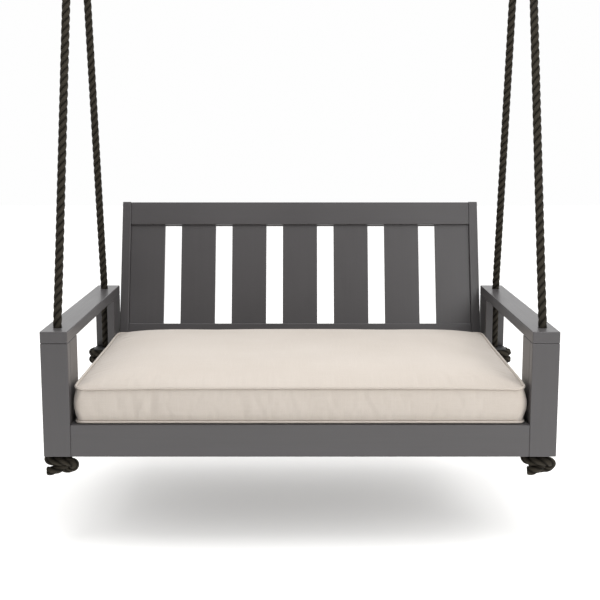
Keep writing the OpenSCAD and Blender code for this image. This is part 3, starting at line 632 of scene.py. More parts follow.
class Finishes:
    """Every finish of the swing, made once: the paint by its grain and the others by their slots."""

    OTHERS = (
        Timber(),
        RopeFibre("rope_fibre", "rope", groove_shade=(0.0022, 0.0018, 0.0013), crown=(0.066, 0.057, 0.043),
                  yarns=30.0, yarn_turns=590.0, yarn_depth=0.0007, fuzz=1800.0),
        RopeFibre("binding_twine", "twine", groove_shade=(0.006, 0.005, 0.004), crown=(0.07, 0.06, 0.05),
                  yarns=12.0, yarn_turns=1400.0, yarn_depth=0.0002, fuzz=3000.0),
        Metal("black_steel", dark=(0.020, 0.020, 0.021), light=(0.034, 0.034, 0.036),
              metallic=0.0, rough=(0.38, 0.52), grit=900.0),
        Metal("zinc_steel", dark=(0.46, 0.47, 0.49), light=(0.60, 0.61, 0.62),
              metallic=1.0, rough=(0.26, 0.42), grit=700.0),
        Nylon(),
        Canvas(),
    )

    def __init__(self) -> None:
        """Builds the shared groups and all the materials."""
        groups = Groups()
        self.paint = {grain: SatinPaint().material(groups, grain) for grain in Grain}
        self.by_slot = {finish.slot: finish.material(groups) for finish in self.OTHERS}


def dress(piece: bpy.types.Object, body: str, material: bpy.types.Material) -> None:
    """Gives a new piece its material and the body that it moves with."""
    piece.data.materials.clear()
    piece.data.materials.append(material)
    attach(piece, body)
    log.info("%s: %d faces on %s", piece.name, len(piece.data.polygons), body)


# ---- The studio ----


@dataclass(frozen=True)
class Panel:
    """A rectangular light panel that faces a target."""

    name: str
    place: tuple
    target: tuple
    size: tuple
    power: float

    def build(self) -> None:
        """Hangs the panel."""
        data = bpy.data.lights.new(self.name, "AREA")
        data.shape = "RECTANGLE"
        data.size, data.size_y = self.size
        data.energy = self.power
        panel = bpy.data.objects.new(self.name, data)
        panel.location = self.place
        aim = Vector(self.target) - Vector(self.place)
        panel.rotation_euler = aim.to_track_quat("-Z", "Y").to_euler()
        bpy.context.scene.collection.objects.link(panel)


@dataclass
class Studio:
    """A white room with a soft light overhead and the photograph's view of the swing.

    The room is bright behind the swing and dim on the camera's side. A little more light comes from
    above and from the right, and the left is slightly dimmer.
    """

    eye: tuple = (0.0, -3.788, -1.384)
    pitch: float = 8.87
    pixels_to_focus: float = 1118.3
    frame_pixels: float = 600.0
    sensor: float = 36.0
    view_end: float = 100.0
    floor_z: float = -2.65
    floor_half: float = 14.0
    floor_points: int = 9
    floor_glow: float = 0.31
    floor_dark: tuple = (0.985, 0.982, 0.975)
    floor_light: tuple = (0.995, 0.992, 0.985)
    floor_warmth: tuple = (1.0, 0.99, 0.97, 1.0)
    room_white: tuple = (1.0, 1.0, 1.0, 1.0)
    front_fade: tuple = (-0.1, 0.5)
    front_light: float = 0.06
    back_light: float = 0.99
    side_fade: tuple = (0.5, 0.88)
    right_gain: float = 0.42
    left_share: float = -0.25
    zenith_fade: tuple = (0.3, 0.9)
    zenith_light: float = 0.64
    panels: tuple = (
        Panel("light_overhead", place=(-0.25, -1.1, 1.3), target=(0.0, -0.1, -2.2),
              size=(3.2, 2.6), power=72.0),
        Panel("light_side", place=(1.75, -2.3, -0.6), target=(0.0, 0.1, -2.0),
              size=(1.6, 1.6), power=30.0),
    )

    def camera(self) -> None:
        """Makes the camera: the lens is the focal length in pixels over the frame, times the sensor."""
        data = bpy.data.cameras.new("view")
        data.sensor_width = self.sensor
        data.lens = self.pixels_to_focus / self.frame_pixels * self.sensor
        data.clip_end = self.view_end
        camera = bpy.data.objects.new("view", data)
        camera.location = self.eye
        camera.rotation_euler = (math.radians(90 - self.pitch), 0.0, 0.0)
        bpy.context.scene.collection.objects.link(camera)
        bpy.context.scene.camera = camera

    def floor(self) -> None:
        """A wide pale floor: a grid whose points lie at floor height, z = floor_z."""
        side = np.linspace(-self.floor_half, self.floor_half, self.floor_points)
        x, y = np.meshgrid(side, side)
        points = np.stack([x, y, np.full_like(x, self.floor_z)], axis=-1).reshape(-1, 3)
        faces = grid_faces(self.floor_points, self.floor_points, False)
        floor = new_piece("studio_floor", points, list(faces))
        plain = {"Roughness": 0.95, "Specular IOR Level": 0.0, "Emission Strength": self.floor_glow,
                 "Emission Color": self.floor_warmth}
        material, shader, surface = new_material("studio_white", plain)
        clouds = shader.noise(shader.place(), 0.8, 1.0)
        shader.feed(surface.inputs["Base Color"], shader.tint(clouds, self.floor_dark, self.floor_light))
        floor.data.materials.append(material)

    def light(self) -> None:
        """The white surroundings and the panels."""
        bpy.context.scene.view_settings.view_transform = "Standard"
        world = bpy.data.worlds.new("studio")
        world.use_nodes = True
        shader = Shader(world.node_tree)
        x, y, z = shader.parts(shader.node("TexCoord").outputs["Generated"])
        behind = shader.spread(y, *self.front_fade, self.front_light, self.back_light)
        above = shader.spread(z, *self.zenith_fade, 0.0, self.zenith_light)
        gain = shader.spread(y, *self.side_fade, self.right_gain, 0.0)
        side = shader.math("MAXIMUM", x, self.left_share)
        across = shader.math("MULTIPLY_ADD", side, gain, above)
        background = world.node_tree.nodes["Background"]
        background.inputs["Color"].default_value = self.room_white
        shader.feed(background.inputs["Strength"], shader.math("ADD", behind, across))
        bpy.context.scene.world = world
        for panel in self.panels:
            panel.build()


# ---- Ropes ----

# The front knot, in rope diameters from the mouth of its hole: an overhand stopper. The rope comes
# down, turns up on its right, crosses in front, rounds itself and comes out through the loop.
OVERHAND = (
    (0, 0, 1), (0, 0, 0.48), (0, 0, -0.04), (-0.12, 0.06, -0.55),
    (-0.42, 0.16, -1.08), (-0.58, 0.34, -1.62), (-0.4, 0.52, -2.1), (0.18, 0.6, -2.4),
    (0.84, 0.47, -2.38), (1.37, 0.06, -2.04), (1.53, -0.5, -1.5), (1.1, -1.04, -1.1),
    (0.3, -1.3, -0.96), (-0.58, -1.26, -0.98), (-1.3, -0.78, -1.02), (-1.54, 0.12, -0.94),
    (-1.14, 0.94, -0.78), (-0.36, 1.27, -0.7), (0.22, 1.17, -0.82), (0.56, 0.74, -1.06),
    (0.59, 0.12, -1.36), (0.28, -0.52, -1.74), (-0.3, -1.0, -2.02), (-0.94, -1.14, -2.18),
    (-1.5, -1.08, -2.24),
)


@dataclass(frozen=True)
class LaidRope:
    """A rope of three strands laid round each other.

    Its section is the outline of round strands whose centres lie on a circle. At the angle d from a
    strand's middle the outline lies offset * cos(d) + sqrt(strand^2 - (offset * sin(d))^2) from the
    rope's centre, less a narrow notch between strands. The section turns once in every lay length.
    Points crowd towards the notches. A cut end is drawn in to the cut_sizes, and its map stands at
    cut_share of a turn, which is dark.
    """

    diameter: float = 25.4 * MM
    lay: float = 80.0 * MM
    strand_share: float = 0.72
    notch: float = 0.11
    notch_width: float = 0.14
    strands: int = 3
    columns: int = 14
    step: float = 3.0 * MM
    crowding: float = 0.85
    cut_share: float = 0.3
    cut_sizes: tuple = (0.94, 0.99)

    def section(self) -> tuple[np.ndarray, np.ndarray, np.ndarray]:
        """The section's angles, its radii, and the angle round the strand as a share of a turn."""
        radius = self.diameter / 2
        strand = radius * self.strand_share
        offset = radius - strand
        t = np.linspace(-1, 1, self.columns + 1)
        edge = math.pi / self.strands
        d = np.sign(t) * np.abs(t) ** self.crowding * edge
        r = offset * np.cos(d) + np.sqrt(strand**2 - (offset * np.sin(d)) ** 2)
        r = r - radius * self.notch * np.exp(-(((edge - np.abs(d)) / self.notch_width) ** 2))
        around = np.arctan2(r * np.sin(d), r * np.cos(d) - offset) / TURN
        starts = TURN / self.strands * np.arange(self.strands)
        return (starts[:, None] + d[None, :-1]).ravel(), np.tile(r[:-1], self.strands), around

    def piece(self, name: str, line: np.ndarray, normals: np.ndarray, sides: np.ndarray,
              start: float, rounded: tuple[bool, bool], swell: Number = 1.0) -> bpy.types.Object:
        """Sweeps the section along a line and closes both ends.

        Args:
            name: The piece's name.
            line: Ring centres.
            normals: A direction square to the line at each.
            sides: The other such direction.
            start: Length of rope before the line's first point, which sets where the turn stands.
            rounded: Whether the first and the last end are cut and rounded over.
            swell: How many times its own size the rope is at each ring.

        Returns:
            The rope's piece.
        """
        angles, radii, around = self.section()
        along = start + lengths_along(line)
        turn = angles[None, :] + TURN * along[:, None] / self.lay
        size = np.ones(len(line)) * swell
        if rounded[0]:
            size[:2] *= self.cut_sizes
        if rounded[1]:
            size[-2:] *= self.cut_sizes[::-1]
        out = (np.cos(turn) * radii)[..., None] * normals[:, None]
        out = out + (np.sin(turn) * radii)[..., None] * sides[:, None]
        rings = line[:, None] + out * size[:, None, None]
        points, faces = capped(rings, line[[0, -1]])
        u = np.tile(np.stack([around[:-1], around[1:]], axis=-1), (self.strands, 1))
        v = np.stack([along[:-1], along[1:]], axis=-1)
        corners = np.stack([np.stack(np.broadcast_arrays(u[None, :, i], v[:, None, k]), axis=-1)
                            for i, k in ((0, 0), (1, 0), (1, 1), (0, 1))], axis=2)
        ends = [np.tile([[self.cut_share, at]], (3 * len(u), 1)) for at in along[[0, -1]]]
        return new_piece(name, points, faces, np.concatenate([corners.reshape(-1, 2), *ends]))


@dataclass(frozen=True)
class RopeRoutes:
    """The ropes' routes, repeated from the part's source in metres, on the side's own plane."""

    rope_r: float = 12.7 * MM
    rope_x: float = 724 * MM
    hole_y: dict = field(default_factory=lambda: {End.FRONT: -501 * MM, End.REAR: 306 * MM})
    arm_top_z: float = -1980 * MM
    stop_z: dict = field(default_factory=lambda: {End.FRONT: -2358 * MM, End.REAR: -2205 * MM})
    crotch_z: float = -264.2 * MM
    throat_z: float = -214.2 * MM
    thimble_z: float = -160.2 * MM
    part_y: float = 13.1 * MM
    bight_r: float = 36 * MM
    knot_rx: float = 36 * MM
    knot_ry: float = 28 * MM
    knot_tail: float = 20 * MM
    soft_gap: float = 0.3 * MM
    turn_gap: float = 0.8 * MM
    knot_lead: float = 25.4 * MM
    mouth_z: float = -1 * MM
    rear_offset: float = 22 * MM
    rear_turn: tuple = (-60, 510)
    drop_turn: tuple = (190, 262)
    bound_tail: float = 12 * MM
    above_hole: float = 8 * MM
    below_hole: float = 10 * MM
    wrap_end: float = 50.0
    wrap_lead: float = 12 * MM

    def hang(self, end: End) -> np.ndarray:
        """From under the binding straight to the arm's hole, then upright down to the knot."""
        top = np.array([0.0, end.value * self.part_y, self.crotch_z])
        hole = np.array([0.0, self.hole_y[end], self.arm_top_z])
        low = np.array([0.0, self.hole_y[end], self.stop_z[end] + self.knot_lead])
        after = top - (0, 0, self.bound_tail)
        before = hole + (0, 0, self.above_hole)
        inside = hole - (0, 0, self.below_hole)
        start = mix(top, hole, 0.03)
        free = [mix(start, before, t) for t in np.linspace(0, 1, 14)]
        return np.array([top, after, *free, inside, *[mix(inside, low, t) for t in (1 / 3, 2 / 3, 1)]])

    def loop(self, degrees: np.ndarray) -> np.ndarray:
        """The knot's flat oval loop, which drops one level between the two angles of drop_turn."""
        level_a = -self.rope_r - self.soft_gap
        level_b = level_a - 2 * self.rope_r - self.turn_gap
        start, stop = self.drop_turn
        level = mix(level_a, level_b, ease(np.clip((degrees - start) / (stop - start), 0, 1)))
        turn = np.radians(degrees)
        return np.stack([self.knot_rx * np.cos(turn), self.knot_ry * np.sin(turn), level], axis=-1)

    def heading(self, degrees: float) -> np.ndarray:
        """The way the loop runs at that angle."""
        turn = math.radians(degrees)
        return unit(np.array([-self.knot_rx * math.sin(turn), self.knot_ry * math.cos(turn), 0.0]))

    def rear_knot(self) -> np.ndarray:
        """The rear knot about its own centre: down, one and a half loops, and a tail."""
        start, stop = self.rear_turn
        entry = np.array([0.0, -self.rear_offset])
        loop = self.loop(np.arange(start, stop + 1, 15))
        lead, mouth = np.array([*entry, self.knot_lead]), np.array([*entry, self.mouth_z])
        reach = np.linalg.norm(loop[0] - mouth) / 2.2
        aim = loop[0] - self.heading(start) * reach
        bend = bend_from(mouth, mouth - (0, 0, reach), aim, loop[0], np.arange(6) / 6)
        away = unit(self.heading(stop) + (0, 0, -0.08))
        tail = [loop[-1] + away * self.knot_tail * t for t in (0.5, 1.0)]
        return np.array([lead, mix(lead, mouth, 0.5), *bend, *loop, *tail])

    def knot(self, side: Side, end: End) -> np.ndarray:
        """A knot in its place on the side's own plane; the rear one is turned a quarter outwards."""
        knot = np.array(OVERHAND) * 2 * self.rope_r
        if end is End.REAR:
            x, y, z = self.rear_knot().T
            knot = np.stack([side.value * (y + self.rear_offset), -side.value * x, z], axis=1)
        return knot + (0.0, self.hole_y[end], self.stop_z[end])

    def bight(self) -> np.ndarray:
        """Up one bound part at the rear, round the thimble and down the other."""
        def arc(degrees: np.ndarray) -> np.ndarray:
            """Points on the turn round the thimble."""
            turn = np.radians(degrees)
            y, z = self.bight_r * np.cos(turn), self.thimble_z + self.bight_r * np.sin(turn)
            return np.stack([0 * turn, y, z], axis=-1)

        def leg(sign: int) -> np.ndarray:
            """One bound part and its swing out on to the turn."""
            low = np.array([0.0, sign * self.part_y, self.crotch_z])
            bend = np.array([0.0, sign * self.part_y, self.throat_z])
            on_arc = arc(np.array([-self.wrap_end if sign > 0 else 180 + self.wrap_end]))[0]
            lean = math.radians(self.wrap_end)
            aim = self.wrap_lead * np.array([0.0, sign * math.sin(lean), math.cos(lean)])
            out = bend_from(bend, bend + (0, 0, self.wrap_lead), on_arc - aim, on_arc, np.arange(5) / 5)
            return np.array([low, mix(low, bend, 0.5), *out])

        turn = np.arange(-self.wrap_end, 181 + self.wrap_end, 14.0)
        return np.array([*leg(1), *arc(turn), *leg(-1)[::-1]])


@dataclass
class RopeSide:
    """One side's rope: rear rope, turn round the thimble and front rope, as one run of three pieces."""

    side: Side
    finishes: Finishes
    routes: RopeRoutes = field(default_factory=RopeRoutes)
    rope: LaidRope = field(default_factory=LaidRope)
    per_span: int = 12
    swell: float = 1.04
    knot_swell: float = 0.07
    swell_over: float = 20 * MM
    first_normal: tuple = (0.31, 1.0, 0.2)

    def controls(self) -> list[np.ndarray]:
        """The three stretches of the run, from the rear knot's tail to the front knot's."""
        r = self.routes
        rear = np.concatenate([r.hang(End.REAR), r.knot(self.side, End.REAR)[1:]])[::-1]
        front = np.concatenate([r.hang(End.FRONT), r.knot(self.side, End.FRONT)[1:]])
        return [rear, r.bight(), front]

    def build(self) -> None:
        rear, bight, front = self.controls()
        run = curve_through(np.concatenate([rear, bight[1:], front[1:]]), self.per_span)
        run = run + (self.side.value * self.routes.rope_x, 0.0, 0.0)
        marks = np.cumsum([0, len(rear) - 1, len(bight) - 1, len(front) - 1]) * self.per_span
        lines = [evenly(run[a : b + 1], self.rope.step) for a, b in zip(marks[:-1], marks[1:])]
        whole = np.concatenate([lines[0], lines[1][1:], lines[2][1:]])
        normals, sides = frames_along(whole, np.array(self.first_normal))
        cuts = (True, False), (False, False), (False, True)
        first, start = 0, 0.0
        for part, line, cut in zip(("rear_rope", "bight", "front_rope"), lines, cuts):
            ring = slice(first, first + len(line))
            below = np.clip((self.routes.stop_z[End.FRONT] - line[:, 2]) / self.swell_over, 0, 1)
            swell = self.swell + self.knot_swell * ease(below)
            name = f"{self.side.label}_{part}_laid"
            piece = self.rope.piece(name, line, normals[ring], sides[ring], start, cut, swell)
            dress(piece, "swing", self.finishes.by_slot["rope"])
            self.declare(piece)
            first += len(line) - 1
            start += float(lengths_along(line)[-1])

    def declare(self, piece: bpy.types.Object) -> None:
        """Hides the nodes that a piece stands for."""
        label = self.side.label
        if "bight" in piece.name:
            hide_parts(f"{label}_rope_bight")
            return
        end = "front" if "front" in piece.name else "rear"
        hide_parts(f"{label}_{end}_rope", f"{label}_{end}_knot")


@dataclass
class Seizing:
    """Twine wound round the two bound parts of a rope, turn on turn."""

    side: Side
    finishes: Finishes
    routes: RopeRoutes = field(default_factory=RopeRoutes)
    height: float = 36 * MM
    bound: float = 50 * MM
    twine: LaidRope = LaidRope(diameter=4.0 * MM, lay=11 * MM, columns=4, step=1.6 * MM)

    def line(self) -> np.ndarray:
        """The winding: round a stadium outline at a steady climb of one twine a turn.

        The outline is two half circles of radius r about y = +-part_y joined by straight sides. Along
        it the point is the circle's point for the angle there, moved on by part_y times the sign of y
        that eases over the straight sides.
        """
        r = self.routes
        radius = r.rope_r + r.soft_gap + self.twine.diameter / 2
        turns = self.height / self.twine.diameter - 1
        half, straight = math.pi * radius, 2 * r.part_y
        around = 2 * (half + straight)
        s = np.linspace(0, turns * around, int(turns * around / self.twine.step))
        p = s % around
        second = half + straight
        places = [p < half, p < second, p < second + half]
        angles = [p / radius, math.pi, math.pi + (p - second) / radius]
        centres = [r.part_y, r.part_y - (p - half), -r.part_y]
        angle = np.select(places, angles, TURN)
        y0 = np.select(places, centres, p - second - half - r.part_y)
        low = r.crotch_z + (self.bound - self.height) / 2 + self.twine.diameter / 2
        z = low + self.twine.diameter * s / around
        x = self.side.value * r.rope_x + radius * np.cos(angle)
        return np.stack([x, y0 + radius * np.sin(angle), z], axis=1)

    def build(self) -> None:
        """Makes the binding in place of its node."""
        line = self.line()
        normals, sides = frames_along(line, np.array([0.0, 0.0, 1.0]))
        node = f"{self.side.label}_seizing"
        piece = self.twine.piece(node + "_wound", line, normals, sides, 0.0, (True, True))
        dress(piece, "swing", self.finishes.by_slot["twine"])
        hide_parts(node)


# ---- Boards and hardware ----


@dataclass
class EasedCopy:
    """A merged copy of a node's mesh whose long edges are rounded over, as a router does.

    An edge counts where its faces meet at more than the sharp angle. Past long_edge it gets the full
    width, down to rim_edge the share rim_share of it, as round a bore, and under that none.
    """

    node: str
    width: float
    segments: int = 3
    long_edge: float = 12 * MM
    rim_edge: float = 1.0 * MM
    rim_share: float = 0.35
    sharp: float = math.radians(25)
    merge: float = 0.01 * MM
    flat: float = math.radians(0.6)

    def build(self, body: str, slot: str, material: bpy.types.Material) -> bpy.types.Object:
        """Makes the copy in place of its node.

        Args:
            body: The body that the node rides on.
            slot: The node's material slot; not used.
            material: The finish.

        Returns:
            The new piece.
        """
        mesh = frame["nodes"][self.node].data.copy()
        mesh.name = self.node + "_eased"
        work = bmesh.new()
        work.from_mesh(mesh)
        bmesh.ops.remove_doubles(work, verts=work.verts, dist=self.merge)
        bmesh.ops.dissolve_limit(work, angle_limit=self.flat, verts=work.verts, edges=work.edges)
        weights = work.edges.layers.float.new("bevel_weight_edge")
        for edge in work.edges:
            if not edge.is_manifold or edge.calc_face_angle(0.0) < self.sharp:
                continue
            length = edge.calc_length()
            if length > self.long_edge:
                edge[weights] = 1.0
            elif length > self.rim_edge:
                edge[weights] = self.rim_share
        work.to_mesh(mesh)
        work.free()
        if "custom_normal" in mesh.attributes:
            mesh.attributes.remove(mesh.attributes["custom_normal"])
        mesh.shade_smooth()
        mesh.set_sharp_from_angle(angle=self.sharp)
        piece = bpy.data.objects.new(self.node + "_eased", mesh)
        bpy.context.scene.collection.objects.link(piece)
        bevel = piece.modifiers.new("eased", "BEVEL")
        bevel.width = self.width
        bevel.segments = self.segments
        bevel.limit_method = "WEIGHT"
        bevel.use_clamp_overlap = False
        bevel.harden_normals = True
        dress(piece, body, material)
        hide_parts(self.node)
        return piece


class Boards:
    """All the painted boards, each with its grain and the size of its eased edges."""

    PLAN = (
        (Grain.ALONG, 3.0 * MM, ("left_arm", "right_arm")),
        (Grain.UPRIGHT, 3.0 * MM, ("left_front_leg_face", "right_front_leg_face")),
        (Grain.UPRIGHT, 3.0 * MM, ("left_rear_leg_back", "right_rear_leg_back")),
        (Grain.UPRIGHT, 2.0 * MM, ("left_front_leg_inner", "right_front_leg_inner")),
        (Grain.UPRIGHT, 2.0 * MM, ("left_rear_leg_inner", "right_rear_leg_inner")),
        (Grain.ALONG, 2.0 * MM, ("left_foot_block", "right_foot_block")),
        (Grain.ACROSS, 2.5 * MM, ("front_rail", "rear_rail")),
        (Grain.ALONG, 2.0 * MM, ("left_side_rail", "right_side_rail", "centre_beam")),
        (Grain.ALONG, 2.0 * MM, ("left_slat_cleat", "right_slat_cleat")),
        (Grain.ACROSS, 2.0 * MM, ("seat_slats",)),
        (Grain.ACROSS, 2.5 * MM, ("back_top_rail", "back_bottom_rail")),
        (Grain.SLOPED, 3.0 * MM, ("left_back_stile", "right_back_stile")),
        (Grain.SLOPED, 2.0 * MM, ("back_slats",)),
    )

    def build(self, finishes: Finishes, bodies: dict) -> None:
        """Makes every board."""
        for grain, width, nodes in self.PLAN:
            for node in nodes:
                EasedCopy(node, width).build(bodies[node], SatinPaint.slot, finishes.paint[grain])


class Hardware:
    """The metal, nylon and dowels, with lightly broken edges.

    Each row of the plan holds a slot, the width of the broken edges, the least sharp angle in degrees,
    the share of the width round a bore, and the kinds of node.
    """

    PLAN = (
        ("black_steel", 0.8 * MM, 25, 0.6, ("ceiling_plate", "hanger_link", "rope_bracket")),
        ("black_steel", 0.4 * MM, 34, 0.35, ("shackle_bow",)),
        ("zinc_steel", 0.4 * MM, 34, 0.35, ("pivot_bolt", "pivot_nuts", "shackle_pin", "thimble")),
        ("zinc_steel", 0.4 * MM, 34, 0.35, ("leg_bolts", "back_lag_screws", "wood_screws")),
        ("nylon", 0.3 * MM, 34, 0.35, ("pivot_bushing",)),
        ("bare_wood", 0.8 * MM, 34, 0.35, ("arm_dowels",)),
    )
    SEGMENTS = 2

    def build(self, finishes: Finishes, bodies: dict) -> None:
        """Makes an eased copy of every node of hardware in its own finish."""
        for node, body in bodies.items():
            kind = node.removeprefix("left_").removeprefix("right_")
            for slot, width, sharp, rim, kinds in self.PLAN:
                if kind in kinds:
                    copy = EasedCopy(node, width, self.SEGMENTS, rim_share=rim, sharp=math.radians(sharp))
                    copy.build(body, slot, finishes.by_slot[slot])


# ---- Cushion ----


@dataclass
class Cushion:
    """A boxed cushion: two panels and a band between them, sewn with piping, and stuffed.

    Its sides are drawn in by draw between the corners and it widens to its rear by the share taper.
    The crown is how high the top panel stands over its seam, rear_rise how far that seam climbs to the
    rear, and lift how far the under side turns up at its edge.
    """

    finishes: Finishes
    half_x: float = 671 * MM
    taper: float = 0.007
    half_y: float = 431 * MM
    centre_y: float = -127 * MM
    bottom_z: float = -2260.7 * MM
    edge_h: float = 106 * MM
    crown: float = 36 * MM
    crown_powers: tuple = (8, 6, 0.6)
    rear_rise: float = 6 * MM
    corner: float = 26 * MM
    draw: float = 2 * MM
    draw_power: int = 6
    cell: float = 9 * MM
    welt_d: float = 8 * MM
    welt_out: float = 3.0 * MM
    welt_sides: int = 12
    leg_x: float = 680 * MM
    cap: float = 24 * MM
    full_band: float = 90 * MM
    fullness: float = 0.012
    swell: float = 9 * MM
    rear_swell: float = 0.4
    lift: float = 6 * MM
    under_band: float = 45 * MM
    full_steps: int = 8
    frames: int = 20
    seed: int = 7
    crease_count: int = 40
    crease_depth: float = 7.0 * MM
    crease_sizes: tuple = (0.25, 1.0)
    ridge_size: float = -0.6
    crease_slant: tuple = (-12, 18)
    crease_width: tuple = (6, 12)
    crease_fade: float = 0.7
    pucker_depth: float = 1.5 * MM
    pucker_waves: tuple = ((0.041, 0.3), (0.067, 2.0), (0.113, 4.1))
    pucker_start: float = 12 * MM
    pucker_reach: float = 40 * MM
    corner_reach: float = 50 * MM

    CLOTH = {
        "quality": 6,
        "mass": 0.3,
        "tension_stiffness": 20,
        "compression_stiffness": 20,
        "shear_stiffness": 8,
        "bending_stiffness": 0.4,
        "use_pressure": True,
        "uniform_pressure_force": 4.0,
        "vertex_group_mass": "held",
        "pin_stiffness": 1.0,
        "vertex_group_shrink": "short",
        "shrink_max": 0.0,
    }

    def panel_grid(self) -> np.ndarray:
        """A square grid drawn over a rectangle with rounded corners.

        With u and v from -1 to 1, a point lies at (half_x * u, half_y * v), and within the corner radius
        of both sides it is pulled on to rings that turn about the corner's centre. The cushion widens
        towards its rear by the share taper * v, and a side moves in by draw * (1 - the other share^4).
        """
        columns = int(2 * self.half_x / self.cell) + 1
        rows = int(2 * self.half_y / self.cell) + 1
        x, y = np.meshgrid(np.linspace(-self.half_x, self.half_x, columns),
                           np.linspace(-self.half_y, self.half_y, rows))
        px = np.maximum(np.abs(x) - (self.half_x - self.corner), 0)
        py = np.maximum(np.abs(y) - (self.half_y - self.corner), 0)
        far = np.maximum(px, py)
        scale = np.where(far > 0, far / np.maximum(np.hypot(px, py), TINY), 1.0)
        x = np.sign(x) * (np.minimum(np.abs(x), self.half_x - self.corner) + px * scale)
        y = np.sign(y) * (np.minimum(np.abs(y), self.half_y - self.corner) + py * scale)
        u, v = x / self.half_x, y / self.half_y
        power = self.draw_power
        x = x * (1 + self.taper * v) - np.sign(x) * np.abs(u) ** power * self.draw * (1 - v**4)
        y = y - np.sign(y) * np.abs(v) ** power * self.draw * (1 - u**4)
        return np.stack([x, y], axis=-1)

    def rim(self, rows: int, columns: int) -> np.ndarray:
        """The numbers of a grid's edge points, once round it."""
        grid = np.arange(rows * columns).reshape(rows, columns)
        return np.concatenate([grid[0, :-1], grid[:-1, -1], grid[-1, :0:-1], grid[:0:-1, 0]])

    def shell(self) -> tuple[np.ndarray, list, np.ndarray, dict]:
        """The closed shell before it is stuffed: points, faces, map coordinates and its named rows."""
        flat = self.panel_grid()
        rows, columns = flat.shape[:2]
        per = rows * columns
        u, v = flat[..., 0] / self.half_x, flat[..., 1] / self.half_y
        wide, deep, round_off = self.crown_powers
        dome = np.clip((1 - np.abs(u) ** wide) * (1 - np.abs(v) ** deep), 0, 1) ** round_off
        seam_z = self.edge_h + self.rear_rise * ((1 + v) / 2) ** 2
        top = np.concatenate([flat, (seam_z + self.crown * dome)[..., None]], axis=-1).reshape(-1, 3)
        edge = np.minimum(self.half_x - np.abs(flat[..., 0]), self.half_y - np.abs(flat[..., 1]))
        under = self.lift * np.clip(1 - edge / self.under_band, 0, 1) ** 2
        low = np.concatenate([flat, under[..., None]], axis=-1).reshape(-1, 3)
        rim = self.rim(rows, columns)
        levels = int(round((self.edge_h - self.lift) / self.cell))
        heights = np.arange(1, levels) / levels
        swell = self.swell * np.sin(math.pi * heights)
        outward = self.rim_out(top[rim])
        outward *= 1 - (1 - self.rear_swell) * np.clip(outward[:, 1:2], 0, 1)
        band = mix(low[rim][None], top[rim][None], heights[:, None, None])
        band = band + swell[:, None, None] * outward[None]
        points = np.concatenate([top, low, band.reshape(-1, 3)])
        inner = 2 * per + np.arange(len(heights) * len(rim)).reshape(-1, len(rim))
        ids = np.concatenate([rim[None] + per, inner, rim[None]])
        along = lengths_along(top[np.append(rim, rim[0])])
        panel = grid_faces(rows, columns, False)
        under_panel = panel[:, ::-1]
        side = ids.ravel()[grid_faces(len(ids), len(rim), True)]
        side_uv = grid_corners(along, np.linspace(0, self.edge_h, len(ids))) + (0.0, 2.0)
        faces = [*panel, *(under_panel + per), *side]
        uv = np.concatenate([top[panel.ravel(), :2], low[under_panel.ravel(), :2] + (3.0, 0.0), side_uv])
        named = {"rim": rim, "per": per, "ids": ids}
        return points + (0.0, self.centre_y, self.bottom_z), faces, uv, named

    def rim_out(self, rim: np.ndarray) -> np.ndarray:
        """Level directions away from the cushion, square to its rim."""
        ahead = np.roll(rim, -1, axis=0) - np.roll(rim, 1, axis=0)
        return unit(np.stack([ahead[:, 1], -ahead[:, 0], np.zeros(len(rim))], axis=1))

    def stuff(self, piece: bpy.types.Object, rows: dict) -> None:
        """Inflates the shell as cloth, held at its seams, with cloth to spare beside them.

        Args:
            piece: The shell.
            rows: Its named rows of points.
        """
        count = len(piece.data.vertices)
        per = rows["per"]
        start = np.empty(count * 3, np.float32)
        piece.data.vertices.foreach_get("co", start)
        x, y, _ = (start.reshape(-1, 3) - (0.0, self.centre_y, 0.0)).T
        inward = np.minimum(self.half_x - np.abs(x), self.half_y - np.abs(y)) / self.full_band
        tight = np.round(np.clip(inward, 0, 1) * self.full_steps) / self.full_steps
        short = piece.vertex_groups.new(name="short")
        for weight in np.unique(tight):
            short.add(np.nonzero(tight == weight)[0].tolist(), float(weight), "REPLACE")
        held = piece.vertex_groups.new(name="held")
        held.add(list(range(per, 2 * per)), 1.0, "REPLACE")
        held.add(rows["rim"].tolist(), 1.0, "REPLACE")
        cloth = piece.modifiers.new("stuffing", "CLOTH")
        for label, value in self.CLOTH.items():
            setattr(cloth.settings, label, value)
        cloth.settings.shrink_min = -self.fullness
        cloth.settings.effector_weights.gravity = 0.0
        cloth.collision_settings.use_collision = False
        scene = bpy.context.scene
        for number in range(1, self.frames + 1):
            scene.frame_set(number)
        graph = bpy.context.evaluated_depsgraph_get()
        stuffed = np.empty(count * 3, np.float32)
        piece.evaluated_get(graph).data.vertices.foreach_get("co", stuffed)
        moved = (stuffed - start).reshape(-1, 3)
        far = np.linalg.norm(moved, axis=1, keepdims=True)
        moved *= self.cap * np.tanh(far / self.cap) / np.maximum(far, TINY)
        piece.modifiers.remove(cloth)
        piece.vertex_groups.clear()
        piece.data.vertices.foreach_set("co", (start.reshape(-1, 3) + moved).ravel())
        scene.frame_set(1)
        log.info("stuffing moved the cloth by up to %.1f mm", float(far.max()) / MM)

